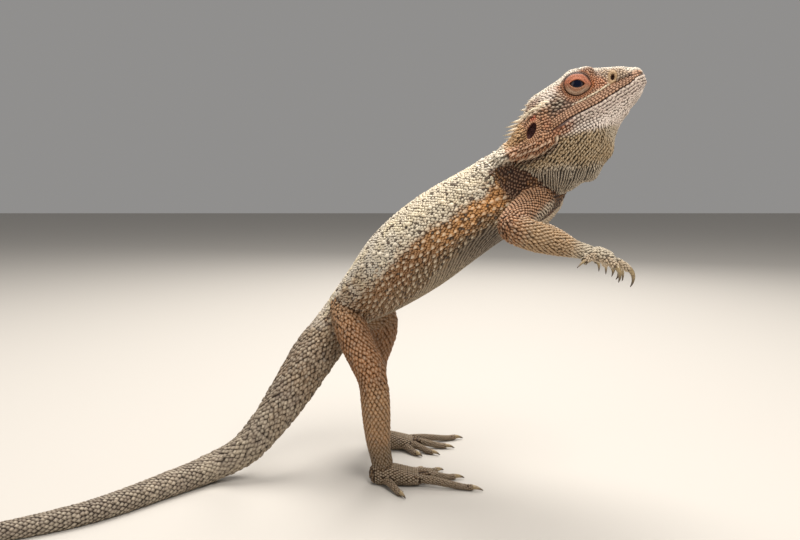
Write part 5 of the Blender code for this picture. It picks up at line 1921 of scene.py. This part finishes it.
def claw_piece(rows, facts):
    """All the claws of one hand or foot, with each point's share of the way to its tip."""
    shape = bmesh.new()
    for name, path_rows in rows.items():
        a, b = np.array(path_rows[-2][:3]), np.array(path_rows[-1][:3])
        claw_shape(shape, b, unit(b - a), facts[name])
    each = np.repeat(np.arange(CLAW_RINGS + 1) / CLAW_RINGS, CLAW_SIDES)
    close(shape)
    mesh = mesh_from(shape, "claws")
    store(mesh, "along", np.tile(each, len(rows)))
    mesh.shade_smooth()
    return mesh


# ---------------------------------------------------------------- putting it together
def row_frame():
    """The move from the frame the body was drawn in, in mm, to the row frame, in metres."""
    low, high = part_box("eye_right")
    middle = (np.array(low) + np.array(high)) / 2
    base = from_head(EYE * (1, -1, 1)) - middle * 1000
    return Matrix.Scale(0.001, 4) @ Matrix.Translation((-base).tolist())


TO_ROW = row_frame()


def hand_over(item, material, slot, *nodes):
    """Moves a finished piece to the row frame, gives it its material and body, and hides the CAD nodes that
    it stands for. slot is not used.
    """
    item.data.transform(TO_ROW)
    item.data.materials.clear()
    item.data.materials.append(material)
    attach(item, "root")
    if nodes:
        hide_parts(*nodes)


FLESH = ["head", "lower_jaw", "beard", "neck", "chest", "abdomen", "pelvis"]
FLESH += [f"tail_{part}" for part in ("base", "second", "third", "fourth", "tip")]
LIMB_PARTS = ("upper_arm", "forearm", "hand", "thigh", "shank", "foot")
FLESH += [f"{part}_{side}" for part in LIMB_PARTS for side in SIDES]


def build_coat(skin):
    """The coat pieces, all the scales of the body."""
    ground, scales = Ground(skin), Scales()
    head_scales(ground, scales)
    tubercle_scales(ground, scales)
    body_rings(ground, scales)
    for size in (1.12, 0.74):
        fill_scales(ground, scales, size)
    table = scales.table()
    which, row, angle, along = locate(table["place"])
    paint = marking(table["place"], which, row, angle)
    pointed = np.isin(table["kind"], (KINDS.index("spine"), KINDS.index("ridge")))
    cream = 0.65 * pointed * fade(0.8, 1.0, table["pale"])
    paint += cream[:, None] * (RIDGE_CREAM - paint)
    back = (which == NUMBER["spine"]) & (row < 9.2) & (rolled(row, angle) < belly_edge(row))
    specks = back & (table["kind"] != KINDS.index("tubercle")) & (RNG.uniform(0, 1, len(row)) < SPECK_SHARE)
    paint[specks] = SPECK_DARK * RNG.uniform(0.8, 1.7, (int(specks.sum()), 1))
    table["pale"][specks] = 0
    table["gap"][specks] = 0.4
    roots = unwrap(which, angle, along)
    homes = piece_of(table["place"], which, row, angle)
    for name, slot in PIECES.items():
        mesh = coat_mesh(name, table, homes == name, paint, roots)
        hand_over(plain_object(name, mesh), MATERIALS["scales"], slot)


def finish_skin(skin):
    """Fewer triangles, the markings, and how bare the skin is of scales."""
    thin_out(skin, SKIN_TRIANGLES, near_features(corners(skin.data)))
    points = corners(skin.data)
    which, row, angle, _ = locate(points)
    paint_mesh(skin.data, marking(points, which, row, angle))
    local = to_head(points)
    eye, mouth, nostril, ear, _, _ = face_features(local)
    x = local[:, 0]
    bare = np.maximum(1 - fade(0.9, 1.1, eye), 1 - fade(1, 1.1, ear))
    bare = np.maximum(bare, 1 - fade(2.2, 2.6, nostril))
    bare = np.maximum(bare, 0.8 * bell(mouth, -0.4, 0.7) * corner_share(x))
    # under the jaw the skin between the beard's scales is darkened further, as painted shade in the gaps
    # between them
    bare = bare - 0.25 * (local[:, 2] < mouth_height(x) - 5)
    store(skin.data, "bare", np.isin(which, HEAD_PATHS) * bare)
    hand_over(skin, MATERIALS["skin"], "skin_back", *FLESH)


def stage():
    """A plain pale floor, soft light from above and both sides, and the camera."""
    bpy.ops.mesh.primitive_plane_add(size=6, location=(0, 0, -0.0002))
    floor = bpy.context.object
    floor.name = "floor"
    look = Look("floor", roughness=0.9, base_color=rgba(FLOOR_PALE))
    floor.data.materials.append(look.material)
    world = bpy.data.worlds.new("studio")
    world.use_nodes = True
    sky = world.node_tree.nodes["Background"].inputs
    sky["Color"].default_value = SKY_COLOUR
    sky["Strength"].default_value = SKY_STRENGTH
    bpy.context.scene.world = world
    for name, place, aim, size, power in LAMPS:
        lamp = bpy.data.lights.new(name, "AREA")
        lamp.shape = "DISK"
        lamp.size = size
        lamp.energy = power
        lamp.color = LAMP_COLOUR
        item = plain_object(name, lamp)
        item.location = place
        item.rotation_euler = (Vector(aim) - Vector(place)).to_track_quat("-Z", "Y").to_euler()
    camera = bpy.data.cameras.new("camera")
    camera.lens = CAMERA_LENS
    camera.sensor_width = CAMERA_LENS
    camera.clip_start = 0.01
    item = plain_object("camera", camera)
    item.location = TO_ROW @ Vector(CAMERA_PLACE)
    item.rotation_euler = (radians(90 - CAMERA_DIP), 0, 0)
    bpy.context.scene.camera = item
    bpy.context.scene.view_settings.view_transform = "Standard"


MATERIALS = {"scales": scale_look("scales"), "skin": skin_look(), "eye": eye_look(), "claw": claw_look()}


def main():
    skin = skin_piece()
    build_coat(skin)
    finish_skin(skin)
    for side, hand in zip(SIDES, (-1, 1)):
        hand_over(plain_object(f"eyeball_{side}", eyeball(hand)), MATERIALS["eye"], "eye", f"eye_{side}")
        toes = {toe: toe_rows(side, toe) for toe in TOES}
        fingers = {finger: finger_rows(side, finger) for finger in FINGER_TIPS[side]}
        for limb, rows, facts in (("foot", toes, FOOT_CLAW), ("hand", fingers, HAND_CLAW)):
            claws = plain_object(f"claws_{limb}_{side}", claw_piece(rows, facts))
            hand_over(claws, MATERIALS["claw"], "horn", *[f"{limb}_claw_{side}_{name}" for name in rows])
    stage()


main()
